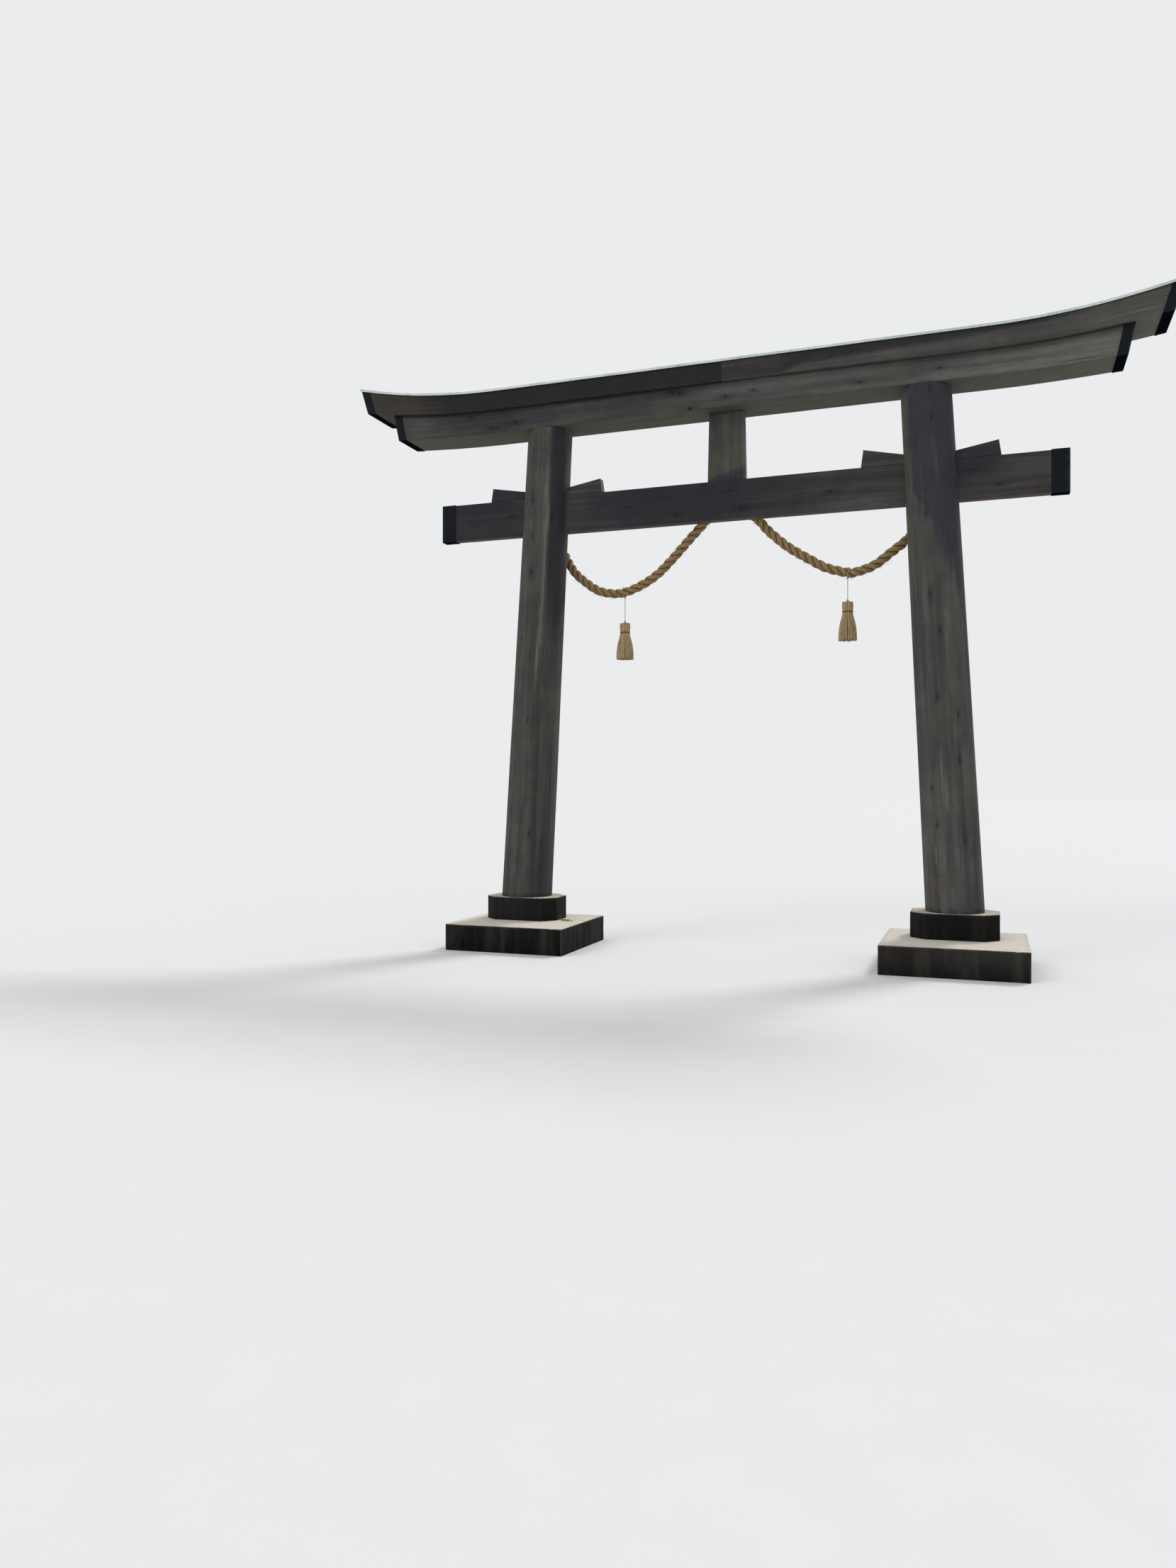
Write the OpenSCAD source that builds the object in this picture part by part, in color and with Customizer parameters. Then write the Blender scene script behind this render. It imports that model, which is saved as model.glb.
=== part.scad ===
// Torii gate of weathered timber: two leaning round posts, a wedged tie beam,
// a centre strut and two upswept lintels under a thin metal roof.
// Millimetres, +Z up, +X along the gate, origin on the ground at the middle.

/* [Base] */
// Width of each square concrete slab
slab_w = 1530; // [1300:10:1800]
// Height of each slab's sides, down to the lowest ground
slab_h = 320; // [200:10:500]
// How far a slab's top rises from its edges to the block
slab_rise = 25; // [5:5:60]
// Width of each stone base block
block_w = 940; // [760:10:1200]
// How far each block stands out before and behind the post's foot
block_past = 5; // [0:5:120]
// Height of each base block
block_h = 285; // [200:5:450]
// Flat cut across each upright corner of a block
block_chamfer = 160; // [40:5:220]

/* [Posts] */
// Distance between the post centres on the blocks
post_spacing = 5150; // [4700:10:5600]
// Post diameter at its foot
post_foot_d = 640; // [520:5:740]
// Post diameter under the lintel
post_top_d = 560; // [440:5:640]
// Height of the posts, from block to lintel
post_h = 5822; // [5500:1:6400]
// Inward lean of each post, in degrees
post_lean = 3.07; // [1:0.01:4]

/* [Tie beam] */
// Height of the tie beam's underside above the ground
tie_z = 5170; // [5050:5:5300]
// Height of the tie beam
tie_h = 468; // [380:1:520]
// Thickness of the tie beam
tie_t = 125; // [90:1:180]
// How far the tie beam runs out past the middle of each post
tie_past = 1410; // [1100:10:1800]
// Length of the metal cap on each end of the tie beam
tie_cap_len = 183; // [120:1:260]

/* [Wedges] */
// Thickness of each wedge
wedge_t = 112; // [70:1:140]
// How far each wedge stands out from the middle of its post
wedge_reach = 725; // [600:5:820]
// Height of the wedges at their thick outer ends
wedge_end_h = 170; // [130:1:200]
// Height of the right post's inner wedge at its thick end
wedge_big_h = 198; // [130:1:220]
// Height of each wedge at its thin end in the post
wedge_tip_h = 45; // [20:1:70]
// How much longer each wedge is underneath
wedge_end_slant = 25; // [0:1:60]

/* [Strut] */
// Width of the strut under the lintel
strut_top_w = 420; // [300:5:520]
// Width of the strut on the tie beam
strut_foot_w = 455; // [320:5:560]
// Thickness of the strut
strut_t = 110; // [70:1:180]

/* [Lintels] */
// How far the lintels stay level past the middle of each post, before they sweep up
level_past = 640; // [400:10:900]
// Height of the lower lintel at the middle
lower_h = 283; // [220:1:350]
// Depth of the lower lintel, front to back
lower_d = 500; // [400:5:600]
// How far the lower lintel's underside runs out past the middle of each post
lower_past = 2020; // [1700:10:2300]
// Slant of the lower lintel's ends, in degrees
lower_slant = 12; // [4:0.5:18]
// Radius of the sweep under the lower lintel
lower_sweep_r = 20000; // [15000:100:30000]
// Radius of the sweep where the upper lintel lies on the lower one
seat_sweep_r = 11600; // [9000:100:14500]
// Height of the upper lintel's front at the middle
upper_h = 250; // [200:1:320]
// Depth of the upper lintel, front to back
upper_d = 620; // [520:5:760]
// How far the upper lintel's underside runs out past the lower lintel's
upper_past = 425; // [300:5:550]
// Slant of the upper lintel's ends, in degrees
upper_slant = 17; // [8:0.5:24]
// Radius of the sweep along the top of the upper lintel
top_sweep_r = 8300; // [6500:100:8900]
// Height of the upper lintel's ridge over its front edge
ridge_rise = 90; // [40:5:140]
// Thickness of the metal end caps
cap_t = 4; // [2:0.5:6]
// Length of the caps on the lower lintel
lower_cap_len = 105; // [80:5:160]
// Length of the caps on the upper lintel
upper_cap_len = 105; // [80:5:160]

/* [Roof] */
// Thickness of the roof sheet with its folded edge
roof_t = 6; // [3:0.5:10]
// How far the roof's rim stands out from the upper lintel
rim_out = 16; // [12:1:30]
// Height of the rim
rim_h = 35; // [30:1:70]
// Length of the middle roof sheet
roof_mid_len = 3300; // [2800:50:4000]

/* [Rope] */
// Diameter of the straw rope
rope_d = 115; // [100:1:118]
// Diameter of the iron hooks
hook_d = 24; // [16:1:30]
// Length of a hook's pin outside the timber
hook_len = 150; // [140:5:180]
// Height of a hook's upturned tip
hook_tip = 55; // [30:5:80]
// Diameter of the string that ties on a tassel
string_d = 10; // [6:1:14]
// Length of a tassel
tassel_h = 455; // [350:5:550]
// Width of a tassel at its foot
tassel_foot_d = 218; // [160:2:260]
// Width of a tassel at its bound neck
tassel_neck_d = 118; // [90:2:150]

/* [Hidden] */

LEFT = -1;
RIGHT = 1;
touch = 0.3;
flat_past = 10;
overcut = 50;

timber = [0.45, 0.42, 0.37];
end_grain = [0.62, 0.55, 0.43];
dark_metal = [0.12, 0.15, 0.18];
roof_metal = [0.66, 0.71, 0.67];
stone = [0.33, 0.33, 0.32];
concrete = [0.72, 0.69, 0.63];
straw = [0.78, 0.64, 0.38];
iron = [0.2, 0.18, 0.17];

z_block = slab_h + slab_rise;
z_post = z_block + block_h;
z_lower = z_post + post_h;
z_seat = z_lower + lower_h;
z_eave = z_seat + upper_h;
z_tie_top = tie_z + tie_h;

// The posts' centre and radius at height z
function post_x(z) = post_spacing / 2 - (z - z_post) * tan(post_lean);
function post_r(z) = (post_foot_d + (post_top_d - post_foot_d) * (z - z_post) / post_h) / 2;

tie_half = post_x(tie_z) + tie_past;
level_half = post_x(z_lower) + level_past;
lower_half = post_x(z_lower) + lower_past;
upper_half = lower_half + upper_past;

// The lintels are shaped past their ends, at shared places along them, and then cut off
run_past = 220;
sweep_steps = 11;
sweep_x = [for (i = [0:sweep_steps]) level_half + (upper_half + run_past - level_half) * i / sweep_steps];
half_x = concat([0], sweep_x);
both_x = concat([for (i = [sweep_steps:-1:0]) -sweep_x[i]], sweep_x);

// Height gained at x by an arc of radius r that starts level at level_half
function sweep(x, r) = abs(x) <= level_half ? 0 : r - sqrt(r * r - pow(abs(x) - level_half, 2));
function lower_under(x) = z_lower + sweep(x, lower_sweep_r);
function seat(x) = z_seat + sweep(x, seat_sweep_r);
function eave(x) = z_eave + sweep(x, top_sweep_r);

// Rope: rear of the left post, left swag, hook behind the tie beam, right swag, right post
rope_route = [
    [-2290, 352, 5120], [-2200, 328, 4990], [-2125, 282, 4870], [-2030, 242, 4735],
    [-1913, 220, 4625], [-1716, 200, 4483], [-1533, 190, 4426], [-1344, 180, 4422],
    [-1110, 170, 4502], [-897, 160, 4627], [-695, 150, 4812], [-522, 140, 4987],
    [-378, 130, 5128], [-250, 125, 5252], [-125, 125, 5337], [0, 125, 5360],
    [125, 125, 5337], [250, 125, 5262], [358, 130, 5170], [483, 140, 5028],
    [700, 150, 4837], [938, 160, 4684], [1142, 170, 4567], [1395, 182, 4495],
    [1504, 190, 4505], [1687, 200, 4569], [1851, 220, 4691], [2023, 242, 4826],
    [2125, 290, 4940], [2205, 330, 5030], [2290, 352, 5120]];
rope_sides = 12;
rope_last = len(rope_route) - 1;
rope_top = 15;
tassel_point_left = 7;
tassel_point_right = 23;
string_len_left = 318;
string_len_right = 272;
eye_collar_d = 128;
eye_collar_len = 110;
eye_cord_d = 28;
eye_ring_r = 46;

// Outline of a tassel: the skirt's radii as shares of the foot's, the head's as shares of the
// neck's, and each with its height as a share of the tassel's
skirt_shares = [[0, 0], [1, 0], [0.97, 0.2], [0.86, 0.42]];
head_shares = [[1.16, 0.62], [1, 0.7], [1, 0.76], [1.12, 0.84], [1.1, 0.93], [0.7, 0.99],
    [0.3, 1], [0, 1]];

function unit(v) = v / norm(v);

// Closed solid through equal rings of points, each ring running the same way round
module loft(rings) {
    n = len(rings[0]);
    m = len(rings);
    sides = [for (i = [0:m - 2], j = [0:n - 1])
        [i * n + j, (i + 1) * n + j, (i + 1) * n + (j + 1) % n, i * n + (j + 1) % n]];
    first = [for (j = [0:n - 1]) j];
    last = [for (j = [n - 1:-1:0]) (m - 1) * n + j];
    polyhedron([for (ring = rings) each ring], concat(sides, [first, last]), convexity = 6);
}

module mirrored(side) {
    if (side == RIGHT) children();
    else mirror([1, 0, 0]) children();
}

// Outline in X and Z, given depth in Y, centred
module upright(depth) {
    translate([0, depth / 2, 0]) rotate([90, 0, 0]) linear_extrude(depth) children();
}

function square_ring(a, z) = [[-a, -a, z], [a, -a, z], [a, a, z], [-a, a, z]];

// Square slab, its top sloping up from the edges to the flat that the block stands on
module slab(side) {
    a = slab_w / 2;
    b = block_w / 2 + flat_past;
    color(concrete)
        translate([side * post_spacing / 2, 0, 0])
            loft([square_ring(a, 0), square_ring(a, slab_h), square_ring(b, z_block)]);
}

// Block a little deeper than the post's foot, its upright corners cut
module base_block(side) {
    a = block_w / 2;
    b = a - block_chamfer;
    d = post_foot_d / 2 + block_past;
    e = d - block_chamfer;
    color(stone)
        translate([side * post_spacing / 2, 0, z_block])
            linear_extrude(block_h)
                polygon([[-a, -e], [-b, -d], [b, -d], [a, -e], [a, e], [b, d], [-b, d], [-a, e]]);
}

// Outline of a wedge: its thin end at the middle of the post, lying on the tie beam
module wedge_outline(end_h) {
    polygon([[0, 0], [wedge_reach + wedge_end_slant, 0], [wedge_reach, end_h], [0, wedge_tip_h]]);
}

// The wedge over the tie beam at one post, on its outer or its inner side
module driven_wedge(side, way) {
    end_h = side == RIGHT && way == LEFT ? wedge_big_h : wedge_end_h;
    translate([side * post_x(z_tie_top), 0, z_tie_top])
        mirrored(side * way) upright(wedge_t) wedge_outline(end_h);
}

// The leaning cone that a post is cut from, longer than the post at both ends
module post_log(side) {
    extra = post_foot_d;
    along = post_h / cos(post_lean);
    taper = (post_foot_d - post_top_d) / 2 / along;
    translate([side * post_spacing / 2, 0, z_post])
        rotate([0, -side * post_lean, 0])
            translate([0, 0, -extra])
                cylinder(h = along + 2 * extra, r1 = post_foot_d / 2 + taper * extra,
                    r2 = post_top_d / 2 - taper * extra, $fn = 64);
}

// Round tapered post, cut level at both ends, with the slot for the tie beam and its wedges
module post(side) {
    color(timber)
        difference() {
            intersection() {
                post_log(side);
                translate([side * post_spacing / 2 - slab_w, -slab_w, z_post])
                    cube([2 * slab_w, 2 * slab_w, post_h]);
            }
            translate([side * post_x(tie_z) - post_foot_d, -tie_t / 2, tie_z])
                cube([2 * post_foot_d, tie_t, tie_h]);
            for (way = [LEFT, RIGHT]) driven_wedge(side, way);
        }
}

module wedge(side, way) {
    color(end_grain) driven_wedge(side, way);
}

module tie_beam() {
    color(timber)
        translate([-tie_half, -tie_t / 2, tie_z]) cube([2 * tie_half, tie_t, tie_h]);
}

// Sheet metal box over the end of the tie beam
module tie_cap(side) {
    color(dark_metal)
        mirrored(side)
            difference() {
                translate([tie_half - tie_cap_len, -tie_t / 2 - cap_t, tie_z - cap_t])
                    cube([tie_cap_len + cap_t, tie_t + 2 * cap_t, tie_h + 2 * cap_t]);
                translate([tie_half - tie_cap_len - overcut, -tie_t / 2, tie_z])
                    cube([tie_cap_len + overcut, tie_t, tie_h]);
            }
}

module strut() {
    a = strut_foot_w / 2;
    b = strut_top_w / 2;
    color(timber)
        upright(strut_t)
            polygon([[-a, z_tie_top], [a, z_tie_top], [b, z_lower], [-b, z_lower]]);
}

// All that lies short of a plane that meets the underside at x = reach and leans out by slant
module short_of(reach, z_foot, slant) {
    big = 4 * upper_half;
    translate([reach, 0, z_foot])
        rotate([0, slant, 0])
            translate([-big, -big / 2, -big / 2]) cube(big);
}

// Outline of the lower lintel, before its ends are cut, let out by grow, its top raised by lift
module lower_outline(grow, lift) {
    under = [for (x = both_x) [x, lower_under(x) - grow]];
    over = [for (i = [len(both_x) - 1:-1:0]) [both_x[i], seat(both_x[i]) + lift]];
    polygon(concat(under, over));
}

module short_of_lower(extra) {
    short_of(lower_half + extra, lower_under(lower_half), lower_slant);
}

module lower_lintel() {
    color(timber)
        intersection() {
            upright(lower_d) lower_outline(0, 0);
            short_of_lower(0);
            mirror([1, 0, 0]) short_of_lower(0);
        }
}

// Sheet metal sleeve with a closed end, over the end of the lower lintel
module lower_cap(side) {
    color(dark_metal)
        mirrored(side)
            difference() {
                intersection() {
                    upright(lower_d + 2 * cap_t) lower_outline(cap_t, 0);
                    short_of_lower(cap_t);
                }
                short_of_lower(-lower_cap_len);
                intersection() {
                    upright(lower_d) lower_outline(0, overcut);
                    short_of_lower(0);
                }
            }
}

// Height of the upper lintel's sloping top, or of the plane that carries it on past the edge
function roof_z(x, y) = eave(x) + ridge_rise * (1 - abs(y) / (upper_d / 2));

function upper_ring(x, grow, lift) =
    let (a = upper_d / 2 + grow)
    [[x, -a, seat(x) - grow], [x, a, seat(x) - grow], [x, a, roof_z(x, a) + lift],
        [x, 0, roof_z(x, 0) + lift], [x, -a, roof_z(x, a) + lift]];

// The right half of the upper lintel, before its end is cut
module upper_run(grow, lift) {
    loft([for (x = half_x) upper_ring(x, grow, lift)]);
}

module short_of_upper(extra) {
    short_of(upper_half + extra, seat(upper_half), upper_slant);
}

module upper_lintel(side) {
    color(timber)
        mirrored(side)
            intersection() {
                upper_run(0, 0);
                short_of_upper(0);
            }
}

// Sheet metal sleeve with a closed end, under the roof sheet
module upper_cap(side) {
    color(dark_metal)
        mirrored(side)
            difference() {
                intersection() {
                    upper_run(cap_t, 0);
                    short_of_upper(cap_t);
                }
                short_of_upper(-upper_cap_len);
                intersection() {
                    upper_run(0, overcut);
                    short_of_upper(0);
                }
            }
}

// Section of the roof sheet's outside or inside: out past the lintel's faces, lift over its
// slopes, and drop below the rim's foot
function roof_ring(x, out, lift, drop) =
    let (a = upper_d / 2 + out, foot = roof_z(x, upper_d / 2) + roof_t - rim_h - drop)
    [[x, -a, foot], [x, a, foot], [x, a, roof_z(x, a) + lift], [x, 0, roof_z(x, 0) + lift],
        [x, -a, roof_z(x, a) + lift]];

// Sheet folded over the ridge and down at both rims, through the places xs along the lintel
module roof_sheet(xs) {
    inside_x = concat([xs[0] - overcut], xs, [xs[len(xs) - 1] + overcut]);
    difference() {
        loft([for (x = xs) roof_ring(x, rim_out, roof_t, 0)]);
        loft([for (x = inside_x) roof_ring(x, rim_out - roof_t, 0, overcut)]);
    }
}

module roof_sheet_side(side) {
    first = roof_mid_len / 2;
    color(roof_metal)
        mirrored(side)
            intersection() {
                roof_sheet(concat([first], sweep_x));
                short_of_upper(rim_out);
            }
}

module roof_sheet_middle() {
    color(roof_metal) roof_sheet([-roof_mid_len / 2, roof_mid_len / 2]);
}

// Direction of the rope at point i of its route
function rope_way(i) = unit(rope_route[min(i + 1, rope_last)] - rope_route[max(i - 1, 0)]);

function rope_ring(i) =
    let (way = rope_way(i), across = unit(cross([0, 1, 0], way)), other = cross(way, across))
    [for (k = [0:rope_sides - 1])
        let (turn = 360 * k / rope_sides)
        rope_route[i] + rope_d / 2 * (cos(turn) * across + sin(turn) * other)];

module straw_rope() {
    color(straw) loft([for (i = [0:rope_last]) rope_ring(i)]);
}

// Turns children from +Z to the direction v
module aim(v) {
    rotate([0, acos(v[2] / norm(v)), atan2(v[1], v[0])]) children();
}

// Middle of the cord ring on the rope's end, on the side given
function eye_way(side) = side == LEFT ? -rope_way(0) : rope_way(rope_last);
function rope_end(side) = side == LEFT ? rope_route[0] : rope_route[rope_last];
function eye_centre(side) = rope_end(side) + (eye_collar_len + eye_ring_r) * eye_way(side);

// Bound collar on the rope's end, with the cord ring that goes over the hook
module rope_eye(side) {
    color(straw) {
        translate(rope_end(side))
            aim(eye_way(side)) cylinder(h = eye_collar_len, d = eye_collar_d, $fn = 32);
        translate(eye_centre(side))
            rotate([90, 0, 0])
                rotate_extrude($fn = 48) translate([eye_ring_r, 0]) circle(d = eye_cord_d, $fn = 16);
    }
}

// Round pin driven in along Y at the timber's face, with an upturned tip
module hook(x, y_face, z) {
    color(iron)
        translate([x, y_face, z]) {
            rotate([-90, 0, 0]) cylinder(h = hook_len, d = hook_d, $fn = 24);
            translate([0, hook_len, 0]) {
                sphere(d = hook_d, $fn = 24);
                cylinder(h = hook_tip, d = hook_d, $fn = 24);
            }
        }
}

module rope_hook_end(side) {
    c = eye_centre(side);
    z = c[2] + eye_ring_r - eye_cord_d / 2 - hook_d / 2 - touch;
    off = abs(c[0]) - post_x(z);
    y_face = sqrt(pow(post_r(z), 2) - off * off) - hook_d / 2;
    difference() {
        hook(c[0], y_face, z);
        post_log(side);
    }
}

module rope_hook_middle() {
    p = rope_route[rope_top];
    hook(p[0], tie_t / 2, p[2] - rope_d / 2 - hook_d / 2 - touch);
}

// Lowest point of the loop that ties a tassel's string round the rope
loop_r = rope_d / 2 + string_d / 2 + touch;
function string_point(point) =
    let (way = rope_way(point))
    rope_route[point] - loop_r * unit([0, 0, 1] - way[2] * way);

// Loop round the rope and the string down to the tassel
module tassel_string(point, length) {
    color(straw) {
        translate(rope_route[point])
            aim(rope_way(point))
                rotate_extrude($fn = 48) translate([loop_r, 0]) circle(d = string_d, $fn = 16);
        translate(string_point(point) - [0, 0, length]) cylinder(h = length, d = string_d, $fn = 16);
    }
}

// Bundle of straw, bound at the neck and cut level at the foot
module tassel(point, length) {
    skirt = [for (share = skirt_shares) [share[0] * tassel_foot_d / 2, share[1] * tassel_h]];
    head = [for (share = head_shares) [share[0] * tassel_neck_d / 2, share[1] * tassel_h]];
    color(straw)
        translate(string_point(point) - [0, 0, length + tassel_h])
            rotate_extrude($fn = 48) polygon(concat(skirt, head));
}

slab(LEFT);  // slab_left
slab(RIGHT);  // slab_right
base_block(LEFT);  // base_block_left
base_block(RIGHT);  // base_block_right
post(LEFT);  // post_left
post(RIGHT);  // post_right
tie_beam();
tie_cap(LEFT);  // tie_cap_left
tie_cap(RIGHT);  // tie_cap_right
wedge(LEFT, RIGHT);  // wedge_left_outer
wedge(LEFT, LEFT);  // wedge_left_inner
wedge(RIGHT, LEFT);  // wedge_right_inner
wedge(RIGHT, RIGHT);  // wedge_right_outer
strut();
lower_lintel();
lower_cap(LEFT);  // lower_cap_left
lower_cap(RIGHT);  // lower_cap_right
upper_lintel(LEFT);  // upper_lintel_left
upper_lintel(RIGHT);  // upper_lintel_right
upper_cap(LEFT);  // upper_cap_left
upper_cap(RIGHT);  // upper_cap_right
roof_sheet_side(LEFT);  // roof_sheet_left
roof_sheet_middle();
roof_sheet_side(RIGHT);  // roof_sheet_right
straw_rope();
rope_eye(LEFT);  // rope_eye_left
rope_eye(RIGHT);  // rope_eye_right
rope_hook_end(LEFT);  // rope_hook_left
rope_hook_middle();
rope_hook_end(RIGHT);  // rope_hook_right
tassel_string(tassel_point_left, string_len_left);  // tassel_string_left
tassel_string(tassel_point_right, string_len_right);  // tassel_string_right
tassel(tassel_point_left, string_len_left);  // tassel_left
tassel(tassel_point_right, string_len_right);  // tassel_right
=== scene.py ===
"""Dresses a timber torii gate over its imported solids.

Metres. +X runs along the gate, -Y is the front, +Z is up, and the origin is on the ground at the middle.
"""
import logging
import math
from collections.abc import Callable
from dataclasses import dataclass
from enum import Enum
from functools import cache, cached_property

import bpy
import numpy as np
from mathutils import Euler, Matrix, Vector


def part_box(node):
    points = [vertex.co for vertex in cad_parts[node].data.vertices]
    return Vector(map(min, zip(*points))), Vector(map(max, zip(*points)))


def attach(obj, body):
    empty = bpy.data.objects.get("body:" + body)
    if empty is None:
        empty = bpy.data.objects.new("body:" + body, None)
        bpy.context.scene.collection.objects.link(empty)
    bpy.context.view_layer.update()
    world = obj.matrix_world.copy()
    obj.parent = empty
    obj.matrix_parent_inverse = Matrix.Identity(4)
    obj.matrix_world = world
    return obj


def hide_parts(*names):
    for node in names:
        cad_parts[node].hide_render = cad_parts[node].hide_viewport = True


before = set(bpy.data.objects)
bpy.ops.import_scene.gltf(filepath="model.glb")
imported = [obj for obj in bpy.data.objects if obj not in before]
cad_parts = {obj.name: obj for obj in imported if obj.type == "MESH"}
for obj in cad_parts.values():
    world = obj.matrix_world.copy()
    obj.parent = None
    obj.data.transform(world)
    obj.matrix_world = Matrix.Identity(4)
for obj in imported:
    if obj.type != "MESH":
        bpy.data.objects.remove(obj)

LOG = logging.getLogger("torii_gate")
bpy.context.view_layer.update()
Colour = tuple[float, float, float, float]
Array = np.ndarray
Curve = Callable[[Array], Array]
Section = list[tuple[float, float]]
Density = tuple[float, float, float] | float
Material = bpy.types.Material
Socket = bpy.types.NodeSocket
Tree = bpy.types.NodeTree
ALONG, BACK, UP = np.eye(3)


class Named(Enum):
    """A choice whose name is in the nodes' names."""

    @property
    def word(self) -> str:
        """Its name as the nodes have it."""
        return self.name.lower()


class Side(Named):
    """Which half of the gate a piece belongs to."""

    LEFT = -1
    RIGHT = 1


class Slot(Named):
    """On which side of a post a wedge is driven in, as its direction along the tie beam from the middle."""

    OUTER = 1
    INNER = -1


class Ends(Enum):
    """How a swept surface is closed at its two ends."""

    POLE = "a fan to the middle of the end ring"
    STRIP = "a strip across a thin folded section"


def srgb(red: int, green: int, blue: int) -> Colour:
    """Linear colour of an 8-bit screen colour, by the usual curve."""
    screen = np.array([red, green, blue]) / 255
    return (*np.where(screen <= 0.04045, screen / 12.92, ((screen + 0.055) / 1.055) ** 2.4).tolist(), 1.0)


def unit(vectors: Array) -> Array:
    """Vectors divided by their lengths, along the last axis."""
    return vectors / np.maximum(np.linalg.norm(vectors, axis=-1, keepdims=True), 1e-12)


def joined(*parts: Array | float) -> Array:
    """Points with those coordinates, which are first spread to one shape."""
    return np.stack(np.broadcast_arrays(*parts), axis=-1)


def turns(count: int) -> Array:
    """That many angles, evenly spaced round a full turn."""
    return 2 * np.pi * np.arange(count) / count


def circle(turn: Array, across: Array, up: Array) -> Array:
    """Points of a circle of radius one: across by the turn's cosine and up by its sine."""
    return np.cos(turn)[..., None] * across + np.sin(turn)[..., None] * up


def rise(value: Array, low: float, high: float) -> Array:
    """Smooth step: 0 at low, 1 at high, and 3t^2 - 2t^3 between."""
    t = np.clip((value - low) / (high - low), 0.0, 1.0)
    return t * t * (3.0 - 2.0 * t)


def fall(value: Array, low: float, high: float) -> Array:
    """The same step the other way: 1 at low and 0 at high."""
    return 1.0 - rise(value, low, high)


def bell(value: Array, middle: float, width: float) -> Array:
    """Bell curve: exp(-((value - middle) / width)^2)."""
    return np.exp(-(((value - middle) / width) ** 2))


def lattice(cell: Array, seed: int) -> Array:
    """Repeatable random numbers: whole numbers times large primes, mixed by exclusive or.

    Args:
        cell: whole-numbered points (..., 3).
        seed: picks the numbers.

    Returns:
        A number from -1 to 1 for each point.
    """
    i, j, k = (cell[..., n].astype(np.int64) for n in range(3))
    mixed = (i * 73856093) ^ (j * 19349663) ^ (k * 83492791) ^ (seed * 6971)
    mixed = ((mixed ^ (mixed >> 13)) * 1274126177) & 0xFFFFFFFF
    mixed = ((mixed ^ (mixed >> 15)) * 668265263) & 0xFFFFFFFF
    return ((mixed >> 8) & 0xFFFF) / 32767.5 - 1.0


def noise(points: Array, per_metre: Density, seed: int) -> Array:
    """Value noise: random numbers at whole points, blended by a smooth step along each axis.

    Args:
        points: places (..., 3) in metres.
        per_metre: how many lattice cells there are in a metre, along each axis or all.
        seed: picks the random numbers.

    Returns:
        Numbers from -1 to 1, one for each place.
    """
    scaled = points * np.array(per_metre)
    base = np.floor(scaled)
    part = scaled - base
    part = part * part * (3.0 - 2.0 * part)
    total = np.zeros(points.shape[:-1])
    for corner in np.ndindex(2, 2, 2):
        step = np.array(corner)
        total += np.prod(np.where(step == 1, part, 1.0 - part), axis=-1) * lattice(base + step, seed)
    return total


def curved(points: Array, step: float) -> Array:
    """A smooth line through points: Catmull-Rom cubics, then evenly spaced places along it.

    Args:
        points: places (n, 3) that the line goes through.
        step: distance between the new places.

    Returns:
        Places (m, 3) along the line.
    """
    held = np.vstack([2 * points[0] - points[1], points, 2 * points[-1] - points[-2]])
    a, b, c, d = (held[n : len(held) - 3 + n, None] for n in range(4))
    t = np.linspace(0.0, 1.0, 24, endpoint=False)[None, :, None]
    cubic = 0.5 * (2 * b + (c - a) * t + (2 * a - 5 * b + 4 * c - d) * t**2 + (3 * b - a - 3 * c + d) * t**3)
    line = np.vstack([cubic.reshape(-1, 3), points[-1:]])
    along = travelled(line)
    even = np.linspace(0.0, along[-1], max(2, round(along[-1] / step) + 1))
    return placed(even, along, line)


def placed(places: Array, along: Array, points: Array, period: float | None = None) -> Array:
    """Points (n, k) at places along a line, by straight lines between its own points, closed by a period."""
    parts = [np.interp(places, along, column, period=period) for column in points.T]
    return np.stack(parts, axis=1)


def eased(before: Array, at: Array, after: Array, ease: float) -> Array:
    """Rounds corners off: each one's quadratic curve starts and ends that far from it.

    Args:
        before: the points (n, 2) before the corners.
        at: the corners.
        after: the points after them.
        ease: how far from a corner its curve starts.

    Returns:
        Five points for each corner, in one row.
    """
    start, end = at + ease * unit(before - at), at + ease * unit(after - at)
    t = np.linspace(0.0, 1.0, 5)[None, :, None]
    curve = (1 - t) ** 2 * start[:, None] + 2 * t * (1 - t) * at[:, None] + t**2 * end[:, None]
    return curve.reshape(-1, 2)


def travelled(points: Array) -> Array:
    """Distance from the first of the points to each, along the line through them."""
    return np.concatenate([[0.0], np.cumsum(np.linalg.norm(np.diff(points, axis=0), axis=1))])


@dataclass(frozen=True)
class Check:
    """A drying crack along the grain.

    around is its place round the section and start and end are where it runs, all in metres.
    """

    around: float
    start: float
    end: float
    width: float = 0.0024
    depth: float = 0.010

    def places(self) -> Array:
        """Five distances round the section, from one side of the crack to the other."""
        return self.around + self.width * np.linspace(-1.0, 1.0, 5)


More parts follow.
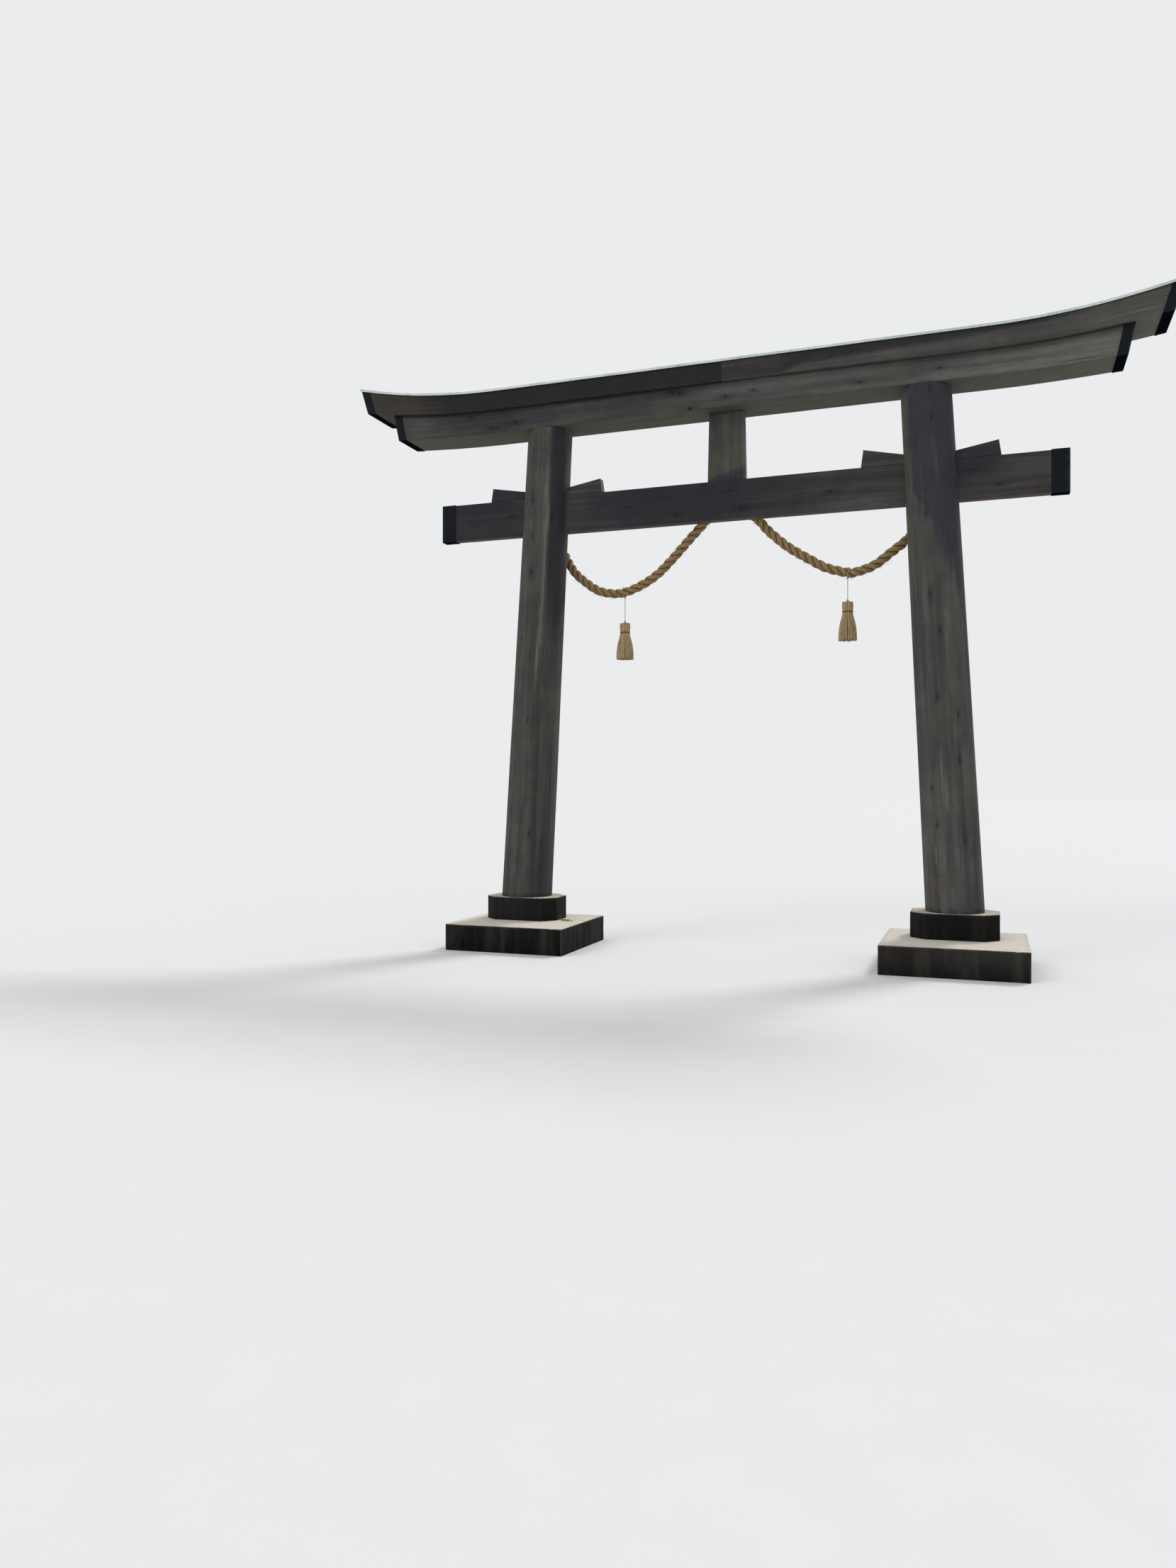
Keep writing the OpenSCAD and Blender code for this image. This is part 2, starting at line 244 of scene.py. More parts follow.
class Outline:
    """Closed outline of a section with eased corners, measured by the distance round it."""

    def __init__(self, corners: Section, ease: float) -> None:
        """Rounds the corners off.

        Args:
            corners: the section's corners, anticlockwise.
            ease: how far from a corner its curve starts.
        """
        sharp = np.array(corners, float)
        self.points = eased(np.roll(sharp, 1, axis=0), sharp, np.roll(sharp, -1, axis=0), ease)
        steps = np.linalg.norm(np.roll(self.points, -1, axis=0) - self.points, axis=1)
        self.distance = np.concatenate([[0.0], np.cumsum(steps)[:-1]])
        self.length = float(steps.sum())

    def places(self, step: float, checks: tuple[Check, ...] = ()) -> Array:
        """Distances round the outline: its own points, others a step apart, and five across each check.

        Args:
            step: distance between the evenly spaced ones.
            checks: the drying cracks.

        Returns:
            The distances, rising.
        """
        across = [check.places() for check in checks]
        wanted = np.concatenate([np.arange(0.0, self.length, step), self.distance, *across])
        wanted = np.sort(wanted % self.length)
        apart = np.diff(wanted, prepend=wanted[0] - 1.0)
        return wanted[apart > 0.0006]

    def at(self, around: Array) -> Array:
        """Points (n, 2) of the outline at those distances round it."""
        return placed(around, self.distance, self.points, self.length)


def cracks(around: Array, along: Array, length: float, checks: tuple[Check, ...]) -> Array:
    """How open the drying cracks are: a V across each one, fading at both its ends.

    Args:
        around: distances round the section, for the columns.
        along: places along the timber, for the rows.
        length: the whole distance round the section.
        checks: the cracks.

    Returns:
        Depths in metres (rows, columns).
    """
    total = np.zeros((len(along), len(around)))
    for check in checks:
        away = np.abs((around - check.around + length / 2) % length - length / 2)
        fade = rise(along, check.start, check.start + 0.15) * fall(along, check.end - 0.25, check.end)
        total = np.maximum(total, check.depth * fade[:, None] * np.clip(1.0 - away / check.width, 0.0, 1.0))
    return total


def linked(name: str, data: bpy.types.ID) -> bpy.types.Object:
    """Makes an object from its data and links it into the scene.

    Args:
        name: the object's name.
        data: its mesh, lamp or camera.

    Returns:
        The new object.
    """
    made = bpy.data.objects.new(name, data)
    bpy.context.scene.collection.objects.link(made)
    return made


class Surface:
    """Points, faces and point values of one mesh, gathered from swept surfaces."""

    def __init__(self) -> None:
        """Starts with nothing in it."""
        self.points: list[Array] = []
        self.faces: list[Array] = []
        self.values: dict[str, list[Array]] = {}
        self.count = 0

    def add(self, rings: Array, ends: Ends = Ends.POLE, **values: Array | float) -> "Surface":
        """Adds closed tubes, each a row of rings, turned so that their faces point outwards.

        Args:
            rings: points (tubes, rows, columns, 3) or (rows, columns, 3), closed round the columns.
            ends: how the first and last ring are closed.
            values: numbers or vectors with the same leading sizes as rings, or one number for all.

        Returns:
            This surface.
        """
        shape = rings.shape[:-1]
        values = {name: value if np.ndim(value) else np.full(shape, value) for name, value in values.items()}
        if rings.ndim == 3:
            rings = rings[None]
            values = {name: value[None] for name, value in values.items()}
        tubes, rows, columns = rings.shape[:3]
        index = np.arange(tubes * rows * columns).reshape(tubes, rows, columns)
        beside = np.roll(index, -1, axis=2)
        corners = [index[:, :-1], index[:, 1:], beside[:, 1:], beside[:, :-1]]
        quads = [np.stack(corners, axis=-1).reshape(-1, 4)]
        triangles = np.zeros((0, 3), int)
        points = rings.reshape(-1, 3)
        extra = {name: value.reshape(points.shape[0], -1) for name, value in values.items()}
        if ends is Ends.POLE:
            pole = len(points) + np.arange(tubes)[:, None] + np.zeros(columns, int)
            first = np.stack([index[:, 0], beside[:, 0], pole], axis=-1).reshape(-1, 3)
            last = np.stack([beside[:, -1], index[:, -1], pole + tubes], axis=-1).reshape(-1, 3)
            triangles = np.vstack([first, last])
            points = np.vstack([points, rings[:, 0].mean(axis=1), rings[:, -1].mean(axis=1)])
            for name, value in values.items():
                whole = value.reshape(tubes, rows, columns, -1)
                extra[name] = np.vstack([extra[name], whole[:, 0].mean(axis=1), whole[:, -1].mean(axis=1)])
        else:
            half = columns // 2
            a, b = index[:, :, :half], index[:, :, columns - half :][:, :, ::-1]
            for row, flip in ((0, 1), (rows - 1, -1)):
                strip = np.stack([a[:, row, :-1], a[:, row, 1:], b[:, row, 1:], b[:, row, :-1]], axis=-1)
                quads.append(strip.reshape(-1, 4)[:, ::flip])
        faces = np.vstack([*quads, np.hstack([triangles, triangles[:, -1:]])])
        p = points[faces]
        volume = (p[:, 0] * (np.cross(p[:, 1], p[:, 2]) + np.cross(p[:, 2], p[:, 3]))).sum()
        if volume < 0:
            flat = faces[:, 2] == faces[:, 3]
            faces = np.where(flat[:, None], faces[:, [1, 0, 2, 2]], faces[:, ::-1])
        self.faces.append(faces + self.count)
        self.points.append(points)
        self.count += len(points)
        for name, value in extra.items():
            self.values.setdefault(name, []).append(value)
        return self

    def mesh(self, name: str, sharp: float) -> bpy.types.Mesh:
        """Makes the Blender mesh, with the point values as attributes.

        Args:
            name: the mesh's name.
            sharp: edges that turn by more than this, in degrees, stay sharp.

        Returns:
            The mesh.
        """
        points, faces = np.vstack(self.points), np.vstack(self.faces)
        sides = np.where(faces[:, 2] == faces[:, 3], 3, 4)
        corners = faces[np.arange(4)[None, :] < sides[:, None]]
        made = bpy.data.meshes.new(name)
        made.vertices.add(len(points))
        made.vertices.foreach_set("co", points.astype(np.float32).ravel())
        made.loops.add(len(corners))
        made.loops.foreach_set("vertex_index", corners.astype(np.int32))
        made.polygons.add(len(faces))
        starts = np.concatenate([[0], np.cumsum(sides)[:-1]])
        made.polygons.foreach_set("loop_start", starts.astype(np.int32))
        made.polygons.foreach_set("use_smooth", np.ones(len(faces), bool))
        made.update(calc_edges=True)
        made.validate()
        for key, parts in self.values.items():
            value = np.vstack(parts).astype(np.float32)
            kind, field = ("FLOAT", "value") if value.shape[1] == 1 else ("FLOAT_VECTOR", "vector")
            made.attributes.new(key, kind, "POINT").data.foreach_set(field, value.ravel())
        made.set_sharp_from_angle(angle=math.radians(sharp))
        return made

    def piece(
        self, name: str, finish: "Finish", slot: str, replaces: tuple[str, ...] = (),
        sharp: float = 50.0,
    ) -> bpy.types.Object:
        """Puts the surface into the scene as one piece that rides with the gate.

        Args:
            name: the piece's name.
            finish: its finish.
            slot: the record's material slot; not used.
            replaces: the CAD nodes that it stands for.
            sharp: edges that turn by more than this, in degrees, stay sharp.

        Returns:
            The new object.
        """
        made = linked(name, self.mesh(name, sharp))
        made.data.materials.append(finish.material)
        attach(made, "root")
        if replaces:
            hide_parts(*replaces)
        LOG.info("%s: %d faces", name, len(made.data.polygons))
        return made


def outward(rings: Array) -> Array:
    """Outward unit normals of one closed tube, from the cross product of its two directions.

    Args:
        rings: points (rows, columns, 3), closed round the columns.

    Returns:
        Normals of the same shape.
    """
    down = np.gradient(rings, axis=0)
    round_it = np.roll(rings, -1, axis=1) - np.roll(rings, 1, axis=1)
    normal = unit(np.cross(round_it, down))
    middle = rings.mean(axis=1, keepdims=True)
    return normal * np.sign(((rings - middle) * normal).sum(axis=-1).mean())


def edges(normals: Array) -> Array:
    """How sharply the surface turns round its section at each point, from 0 on a flat to 1 on an edge."""
    turn = np.linalg.norm(np.roll(normals, -1, axis=1) - np.roll(normals, 1, axis=1), axis=-1)
    return np.clip(turn * 1.4 - 0.1, 0.0, 1.0)


def tubes(path: Array, radius: Array | float, sides: int, beside: Array) -> Array:
    """Round tubes: circles about each place of the paths, square to the path there.

    Args:
        path: centre lines (tubes, rows, 3).
        radius: a radius, or radii that fit (tubes, rows, sides).
        sides: points in each circle.
        beside: a direction, for each tube or place, that the path never takes.

    Returns:
        Rings (tubes, rows, sides, 3).
    """
    way = unit(np.gradient(path, axis=1))
    across = unit(np.cross(way, beside))
    other = np.cross(way, across)
    rim = circle(turns(sides), across[:, :, None], other[:, :, None])
    return path[:, :, None] + np.broadcast_to(radius, path.shape[:2] + (sides,))[..., None] * rim


def studs(centres: Array, way: Array, radius: float) -> Array:
    """Nail heads: low domes whose rings shrink as they rise along way.

    Args:
        centres: places (n, 3) on the sheet.
        way: the direction (3,) or (n, 3) that the heads stand out in.
        radius: radius of a head.

    Returns:
        Rings (n, 4, 8, 3).
    """
    up = unit(np.broadcast_to(way, centres.shape).astype(float))
    side = unit(np.cross(up, np.array([0.31, 0.17, 0.93])))
    other = np.cross(up, side)
    rim = circle(turns(8), side[:, None], other[:, None])
    wide = np.array([1.0, 0.95, 0.7, 0.3]) * radius
    high = np.array([-0.3, 0.2, 0.5, 0.62]) * radius
    rings = wide[:, None, None] * rim[:, None] + high[:, None, None] * up[:, None, None]
    return centres[:, None, None] + rings


class Wiring:
    """Adds nodes to one node tree, with their inputs set to values or linked from other sockets."""

    def __init__(self, tree: Tree) -> None:
        """Works on that tree."""
        self.tree = tree

    def feed(self, socket: Socket, value: object) -> None:
        """Links the socket from another, or sets its value.

        Args:
            socket: the input.
            value: another socket or a plain value.
        """
        if isinstance(value, Socket):
            self.tree.links.new(value, socket)
        else:
            socket.default_value = value

    def node(self, kind: str, settings: dict[str, object] | None = None, **inputs: object) -> bpy.types.Node:
        """Adds a node.

        Args:
            kind: its type, without the ShaderNode in front.
            settings: its own properties.
            inputs: its inputs by name, with _ for a space, or as in0, in1 and so on by number.

        Returns:
            The node.
        """
        made = self.tree.nodes.new("ShaderNode" + kind)
        for key, value in (settings or {}).items():
            setattr(made, key, value)
        for key, value in inputs.items():
            at = int(key[2:]) if key[:2] == "in" and key[2:].isdigit() else key.replace("_", " ")
            self.feed(made.inputs[at], value)
        return made

    def sum(self, kind: str, *values: object, clamp: bool = False) -> Socket:
        """Result of a Math node of that kind."""
        inputs = {f"in{n}": value for n, value in enumerate(values)}
        return self.node("Math", {"operation": kind, "use_clamp": clamp}, **inputs).outputs[0]

    def times(self, a: object, b: object) -> Socket:
        """One value times another."""
        return self.sum("MULTIPLY", a, b)

    def plus(self, a: object, b: object) -> Socket:
        """One value and another together."""
        return self.sum("ADD", a, b)

    def less(self, a: object, b: object) -> Socket:
        """One value with another taken from it."""
        return self.sum("SUBTRACT", a, b)

    def rest(self, value: object) -> Socket:
        """What a value lacks to one."""
        return self.less(1.0, value)

    def vector(self, kind: str, *values: object) -> Socket:
        """Result of a Vector Math node of that kind: a number for a length, and else a vector."""
        made = self.node("VectorMath", {"operation": kind}, **{f"in{n}": v for n, v in enumerate(values)})
        return made.outputs["Value" if kind == "LENGTH" else 0]

    def mix(self, share: object, a: object, b: object, how: str = "MIX") -> Socket:
        """Colour a blended with b by share."""
        settings = {"data_type": "RGBA", "blend_type": how}
        return self.node("Mix", settings, in0=share, in6=a, in7=b).outputs[2]

    def over(self, tone: object, colour: object, mask: object, share: float) -> Socket:
        """A tone with a colour laid over it where the mask is, up to that share."""
        return self.mix(self.times(mask, share), tone, colour)

    def grain(self, vector: object, per_metre: Density, detail: float = 2.0) -> Socket:
        """Noise from 0 to 1, with that many features in a metre along each axis or all."""
        scaled = self.vector("MULTIPLY", vector, np.broadcast_to(per_metre, 3).astype(float).tolist())
        return self.node("TexNoise", Vector=scaled, Scale=1.0, Detail=detail, Roughness=0.55).outputs["Fac"]

    def between(self, value: object, low: float, high: float) -> Socket:
        """Smooth step of a value: 0 at low and 1 at high."""
        settings = {"interpolation_type": "SMOOTHSTEP"}
        return self.node("MapRange", settings, Value=value, in1=low, in2=high, in3=0.0, in4=1.0).outputs[0]

    def own(self, name: str) -> Socket:
        """A mesh's own point attribute."""
        made = self.node("Attribute", {"attribute_name": name})
        return made.outputs["Vector" if name == "grain" else "Fac"]

    def group(self, tree: Tree, **inputs: object) -> bpy.types.NodeOutputs:
        """Outputs of a node group placed here with these inputs."""
        return self.node("Group", {"node_tree": tree}, **inputs).outputs


class EffectGroup:
    """A shader node group with named inputs and outputs, which several materials share."""

    def __init__(self, name: str, inputs: dict[str, object], outputs: tuple[str, ...]) -> None:
        """Makes the group's sockets.

        Args:
            name: the group's name.
            inputs: the inputs' default values by name; a tuple makes a vector input.
            outputs: the names of the number outputs.
        """
        self.tree = bpy.data.node_groups.new(name, "ShaderNodeTree")
        for key, value in inputs.items():
            kind = "NodeSocketVector" if isinstance(value, tuple) else "NodeSocketFloat"
            self.tree.interface.new_socket(name=key, in_out="INPUT", socket_type=kind).default_value = value
        for key in outputs:
            self.tree.interface.new_socket(name=key, in_out="OUTPUT", socket_type="NodeSocketFloat")
        self.wires = Wiring(self.tree)
        self.input = self.tree.nodes.new("NodeGroupInput").outputs
        self.output = self.tree.nodes.new("NodeGroupOutput").inputs

    def give(self, **values: object) -> Tree:
        """Links the group's outputs.

        Args:
            values: a socket for each output, by name.

        Returns:
            The group's tree.
        """
        for key, value in values.items():
            self.wires.feed(self.output[key], value)
        return self.tree


@cache
def timber_grain() -> Tree:
    """Growth rings about a wandering pith, streaks, flecks and fibres, from coordinates with the grain first.

    Returns:
        The group's tree.
    """
    outputs = ("Ring", "Streak", "Line", "Fleck", "Fibre", "Height")
    made = EffectGroup("Timber grain", {"Vector": (0, 0, 0), "Spacing": 0.011}, outputs)
    w, at = made.wires, made.input
    wander = w.times(w.grain(at["Vector"], (0.55, 1.7, 1.7)), 0.13)
    across = w.vector("MULTIPLY", at["Vector"], (0.0, 1.0, 1.0))
    far = w.plus(w.vector("LENGTH", across), wander)
    ring = w.sum("POWER", w.sum("FRACT", w.sum("DIVIDE", far, at["Spacing"])), 2.5)
    streak = w.between(w.grain(at["Vector"], (0.5, 11.0, 11.0), 5.0), 0.34, 0.66)
    line = w.between(w.grain(at["Vector"], (1.3, 70.0, 70.0), 2.0), 0.36, 0.66)
    fleck = w.between(w.grain(at["Vector"], (11.0, 190.0, 190.0), 1.0), 0.66, 0.76)
    fibre = w.grain(at["Vector"], (6.0, 210.0, 210.0))
    coarse = w.grain(at["Vector"], (2.5, 60.0, 60.0))
    height = w.plus(w.times(fibre, 0.5), w.times(coarse, 0.7))
    height = w.less(height, w.times(w.plus(ring, fleck), 0.25))
    return made.give(Ring=ring, Streak=streak, Line=line, Fleck=fleck, Fibre=fibre, Height=height)


@cache
def knot_mark() -> Tree:
    """A knot or nail hole: a core inside its radius, and a halo with rings, drawn out along the grain.

    Returns:
        The group's tree.
    """
    inputs = {"Vector": (0, 0, 0), "Centre": (0, 0, 0), "Stretch": (1, 1, 1), "Radius": 0.02}
    made = EffectGroup("Knot", inputs, ("Core", "Halo", "Figure"))
    w, at = made.wires, made.input
    ragged = w.times(w.grain(at["Vector"], 60.0), 0.8)
    apart = w.vector("SUBTRACT", at["Vector"], at["Centre"])
    round_it = w.plus(w.sum("DIVIDE", w.vector("LENGTH", apart), at["Radius"]), ragged)
    drawn = w.sum("DIVIDE", w.vector("LENGTH", w.vector("MULTIPLY", apart, at["Stretch"])), at["Radius"])
    halo = w.rest(w.between(w.plus(drawn, ragged), 0.7, 3.4))
    rings = w.sum("FRACT", w.plus(w.times(drawn, 1.1), ragged))
    reach = w.rest(w.between(drawn, 2.0, 5.0))
    figure = w.times(reach, w.between(rings, 0.35, 0.95))
    core = w.rest(w.between(round_it, 1.1, 1.8))
    return made.give(Core=core, Halo=halo, Figure=figure)


@cache
def edge_wear() -> Tree:
    """Worn edges: the mesh's edge value broken up by noise.

    Returns:
        The group's tree.
    """
    made = EffectGroup("Edge wear", {"Vector": (0, 0, 0), "Edge": 0.0, "Scale": 25.0}, ("Mask",))
    w, at = made.wires, made.input
    spots = w.node("TexNoise", Vector=at["Vector"], Scale=at["Scale"], Detail=3.0).outputs["Fac"]
    return made.give(Mask=w.sum("MULTIPLY", at["Edge"], w.between(spots, 0.35, 0.6), clamp=True))


@cache
def weather_patches() -> Tree:
    """Two kinds of broad patches, small spots, soft mottle, and a ragged mask of what faces up, for dust and
    painted sunlight.

    Returns:
        The group's tree.
    """
    inputs = {"Vector": (0, 0, 0), "Up": 0.0, "Scale": 1.0}
    made = EffectGroup("Weather", inputs, ("Patch", "Tint", "Mottle", "Spot", "Dust"))
    w, at = made.wires, made.input
    scaled = w.vector("SCALE", at["Vector"])
    w.feed(scaled.node.inputs["Scale"], at["Scale"])
    patch = w.between(w.grain(scaled, 1.1, 4.0), 0.38, 0.66)
    tint = w.between(w.grain(w.vector("ADD", scaled, (7.0, 3.0, 5.0)), (1.5, 1.5, 2.4), 4.0), 0.42, 0.64)
    mottle = w.grain(scaled, 5.0, 4.0)
    spot = w.between(w.grain(scaled, 14.0, 4.0), 0.5, 0.68)
    loose = w.less(w.grain(scaled, 22.0), 0.5)
    # What faces up: dust, and painted sunlight on tops.
    ragged = w.plus(at["Up"], w.times(loose, 0.9))
    return made.give(Patch=patch, Tint=tint, Mottle=mottle, Spot=spot, Dust=w.between(ragged, 0.3, 0.95))


@cache
def straw_fibre() -> Tree:
    """Straws laid side by side: stripes across the lay that change slowly along it.

    Returns:
        The group's tree.
    """
    made = EffectGroup("Straw", {"Vector": (0, 0, 0)}, ("Stripe", "Tone", "Height"))
    w, at = made.wires, made.input
    stripe = w.grain(at["Vector"], (5.0, 240.0, 240.0), 1.0)
    fine = w.grain(at["Vector"], (9.0, 620.0, 620.0), 1.0)
    tone = w.grain(at["Vector"], (3.0, 34.0, 34.0), 2.0)
    return made.give(Stripe=w.between(stripe, 0.3, 0.7), Tone=tone, Height=w.plus(stripe, fine))


class Coat:
    """A new material with its shader and output, and the coordinates that its pattern reads."""

    def __init__(self, name: str) -> None:
        """Makes the material.

        Args:
            name: the material's name.
        """
        self.material = bpy.data.materials.new(name)
        self.material.use_nodes = True
        self.shader = self.material.node_tree.nodes["Principled BSDF"]
        self.wires = Wiring(self.material.node_tree)
        self.place = self.wires.node("TexCoord").outputs["Object"]
        normal = self.wires.node("NewGeometry").outputs["Normal"]
        self.up = self.wires.node("SeparateXYZ", Vector=normal).outputs["Z"]

    def finish(
        self, colour: object, roughness: object, height: object, deep: float, **sockets: object
    ) -> None:
        """Feeds the shader.

        Args:
            colour: the base colour.
            roughness: the roughness.
            height: the bump's height.
            deep: the depth in metres of a height of one.
            sockets: values or sockets for other inputs of the shader.
        """
        bump = self.wires.node("Bump", Strength=1.0, Distance=deep, Height=height)
        self.wires.feed(self.shader.inputs["Base Color"], colour)
        self.wires.feed(self.shader.inputs["Roughness"], roughness)
        self.wires.feed(self.shader.inputs["Normal"], bump.outputs["Normal"])
        for key, value in sockets.items():
            self.wires.feed(self.shader.inputs[key.replace("_", " ")], value)


@dataclass(frozen=True)
class Finish:
    """A finish of one of the gate's materials."""

    name: str

    @cached_property
    def material(self) -> Material:
        """The finish as a material, built when it is first used.

        Returns:
            The material.
        """
        coat = Coat(self.name)
        self.paint(coat)
        return coat.material

    def paint(self, coat: Coat) -> None:
        """Gives a new material its pattern; each kind of finish has its own."""
        raise NotImplementedError


@dataclass(frozen=True)
class Knot:
    """A knot or a plugged nail hole on a timber's face."""

    x: float
    y: float
    z: float
    radius: float = 0.02


@dataclass(frozen=True)
class TimberFinish(Finish):
    """Silvered timber with rings, streaks, stains, knots, open cracks and worn edges; the staining colour
    also lays on painted shade, and faces that point down get painted bounce light and painted shade.
    """

    light: Colour = srgb(92, 91, 87)
    dark: Colour = srgb(66, 64, 62)
    # Colour of staining, also laid on as painted shade.
    stain: Colour = srgb(50, 47, 55)
    pale: Colour = srgb(120, 118, 110)
    olive: Colour = srgb(88, 85, 68)
    # Colour of faces that point down: painted bounce light from the floor and painted shade.
    under: Colour = srgb(76, 74, 63)
    worn: Colour = srgb(108, 105, 98)
    hole: Colour = srgb(24, 21, 20)
    knots: tuple[Knot, ...] = ()
    drawn: tuple[float, float, float] = (0.3, 1.0, 1.0)

    def paint(self, coat: Coat) -> None:
        """Gives the new material its pattern, by the mesh's grain, edge, crack, olive and pale values and its
        share of staining and painted shade.

        Args:
            coat: the material's nodes.
        """
        w = coat.wires
        grain = w.group(timber_grain(), Vector=w.own("grain"))
        weather = w.group(weather_patches(), Vector=coat.place, Up=coat.up, Scale=1.0)
        tone = w.mix(grain["Streak"], self.dark, self.light)
        tone = w.over(tone, self.stain, weather["Patch"], 0.45)
        tone = w.over(tone, self.olive, weather["Tint"], 0.30)
        ragged = w.grain(w.own("grain"), (0.9, 26.0, 26.0), 3.0)
        ragged = w.times(w.less(ragged, 0.5), 0.9)
        green = w.between(w.plus(w.own("olive"), ragged), 0.2, 1.0)
        tone = w.over(tone, self.olive, green, 0.8)
        # Staining and painted shade, by the mesh's share of both.
        tone = w.mix(w.between(w.plus(w.own("stain"), ragged), 0.15, 1.05), tone, self.stain)
        lines = w.plus(w.times(grain["Line"], 0.45), 0.55)
        streaks = w.times(w.between(w.plus(w.own("pale"), ragged), 0.25, 1.1), lines)
        tone = w.mix(streaks, tone, self.pale)
        # Faces that point down take the under colour: painted bounce light and painted shade.
        down = w.between(w.times(coat.up, -1.0), 0.4, 0.95)
        tone = w.over(tone, self.under, down, 0.8)
        tone = w.over(tone, self.dark, grain["Ring"], 0.22)
        tone = w.mix(0.45, tone, w.mix(weather["Mottle"], srgb(62, 60, 62), srgb(200, 200, 196)), "OVERLAY")
        tone = w.mix(0.5, tone, w.mix(grain["Fibre"], srgb(88, 88, 88), srgb(236, 236, 236)), "OVERLAY")
        tone = w.over(tone, self.hole, grain["Fleck"], 0.5)
        wear = w.group(edge_wear(), Vector=coat.place, Edge=w.own("edge"), Scale=14.0)
        tone = w.over(tone, self.worn, wear["Mask"], 0.22)
        height = grain["Height"]
        for knot in self.knots:
            at = {"Centre": (knot.x, knot.y, knot.z), "Stretch": self.drawn, "Radius": knot.radius}
            mark = w.group(knot_mark(), Vector=coat.place, **at)
            tone = w.over(tone, self.hole, mark["Figure"], 0.28)
            tone = w.over(tone, self.hole, mark["Halo"], 0.45)
            tone = w.over(tone, self.hole, mark["Core"], 0.95)
            height = w.less(height, mark["Core"])
        tone = w.mix(w.between(w.own("crack"), 0.05, 0.7), tone, self.hole)
        rough = w.plus(0.78, w.times(grain["Fibre"], 0.15))
        coat.finish(tone, rough, height, 0.0022, Specular_IOR_Level=0.3)


@dataclass(frozen=True)
class SheetFinish(Finish):
    """Oxidised sheet metal: blotches, spots and runs, folds lighter as a painted highlight and partly worn
    bare, and undersides darker as painted shade.
    """

    base: Colour
    blotch: Colour
    spot: Colour
    # fold is a painted highlight on folds and edges, partly bare metal; under is painted shade on faces that
    # point down.
    fold: Colour
    under: Colour
    metallic: float
    roughness: float
    shine: float = 0.5

    def paint(self, coat: Coat) -> None:
        """Gives the new material its pattern, by the mesh's edge value.

        Args:
            coat: the material's nodes.
        """
        w = coat.wires
        weather = w.group(weather_patches(), Vector=coat.place, Up=coat.up, Scale=2.2)
        runs = w.between(w.grain(coat.place, (22.0, 22.0, 1.6), 3.0), 0.45, 0.75)
        tone = w.mix(weather["Patch"], self.base, self.blotch)
        tone = w.over(tone, self.blotch, runs, 0.45)
        tone = w.over(tone, self.spot, weather["Spot"], 0.4)
        wear = w.group(edge_wear(), Vector=coat.place, Edge=w.own("edge"), Scale=18.0)
        # Painted highlight on folds and edges, partly wear.
        tone = w.over(tone, self.fold, wear["Mask"], 0.6)
        # Faces that point down take painted shade.
        down = w.between(w.times(coat.up, -1.0), 0.3, 0.9)
        tone = w.mix(down, tone, self.under)
        dents = w.grain(coat.place, 9.0, 2.0)
        height = w.plus(dents, w.times(w.grain(coat.place, 90.0), 0.12))
        rough = w.sum("ADD", self.roughness, w.times(weather["Spot"], 0.2), clamp=True)
        shine = w.times(w.rest(down), self.shine)
        coat.finish(tone, rough, height, 0.003, Metallic=self.metallic, Specular_IOR_Level=shine)


@dataclass(frozen=True)
class StoneFinish(Finish):
    """Dressed stone or cast concrete: speckle, sides dark as painted shade and darker towards the bottom,
    tops pale as partly painted sunlight and partly dust, moss and pale worn edges.
    """

    # The side colour is dark as painted shade; the top colour is pale as partly painted sunlight, partly
    # dust.
    side: Colour
    top: Colour
    damp: Colour
    worn: Colour
    moss: Colour = srgb(104, 98, 54)
    speckle: float = 0.35
    wet_to: float = 0.2

    def paint(self, coat: Coat) -> None:
        """Gives the new material its pattern, by the mesh's edge and moss values.

        Args:
            coat: the material's nodes.
        """
        w = coat.wires
        weather = w.group(weather_patches(), Vector=coat.place, Up=coat.up, Scale=1.1)
        grit = w.grain(coat.place, 190.0, 3.0)
        lumps = w.grain(coat.place, 30.0, 4.0)
        tone = w.mix(w.times(weather["Patch"], 0.5), self.side, self.damp)
        low = w.node("SeparateXYZ", Vector=coat.place).outputs["Z"]
        rising = w.plus(low, w.times(w.grain(coat.place, 7.0, 3.0), -0.12))
        # Darker towards the bottom, up to the given height.
        tone = w.mix(w.rest(w.between(rising, -0.05, self.wet_to)), tone, self.damp)
        # Faces that point up take the top colour: partly painted sunlight, partly dust.
        tone = w.mix(weather["Dust"], tone, self.top)
        bare = w.rest(weather["Dust"])
        runs = w.between(w.grain(coat.place, (7.0, 7.0, 1.2), 4.0), 0.42, 0.70)
        tone = w.over(tone, self.worn, w.times(runs, bare), 0.12)
        spots = w.times(w.plus(bare, 0.12), self.speckle * 0.5)
        tone = w.mix(w.times(weather["Spot"], spots), tone, self.damp)
        tone = w.mix(self.speckle, tone, w.mix(grit, srgb(80, 80, 80), srgb(215, 215, 215)), "OVERLAY")
        wear = w.group(edge_wear(), Vector=coat.place, Edge=w.own("edge"), Scale=6.0)
        tone = w.over(tone, self.worn, wear["Mask"], 0.35)
        moss = w.plus(w.own("moss"), w.times(w.less(lumps, 0.5), 1.4))
        tone = w.mix(w.between(moss, 0.35, 0.9), tone, self.moss)
        height = w.plus(w.times(grit, 0.35), lumps)
        coat.finish(tone, 0.9, height, 0.003, Specular_IOR_Level=0.12)


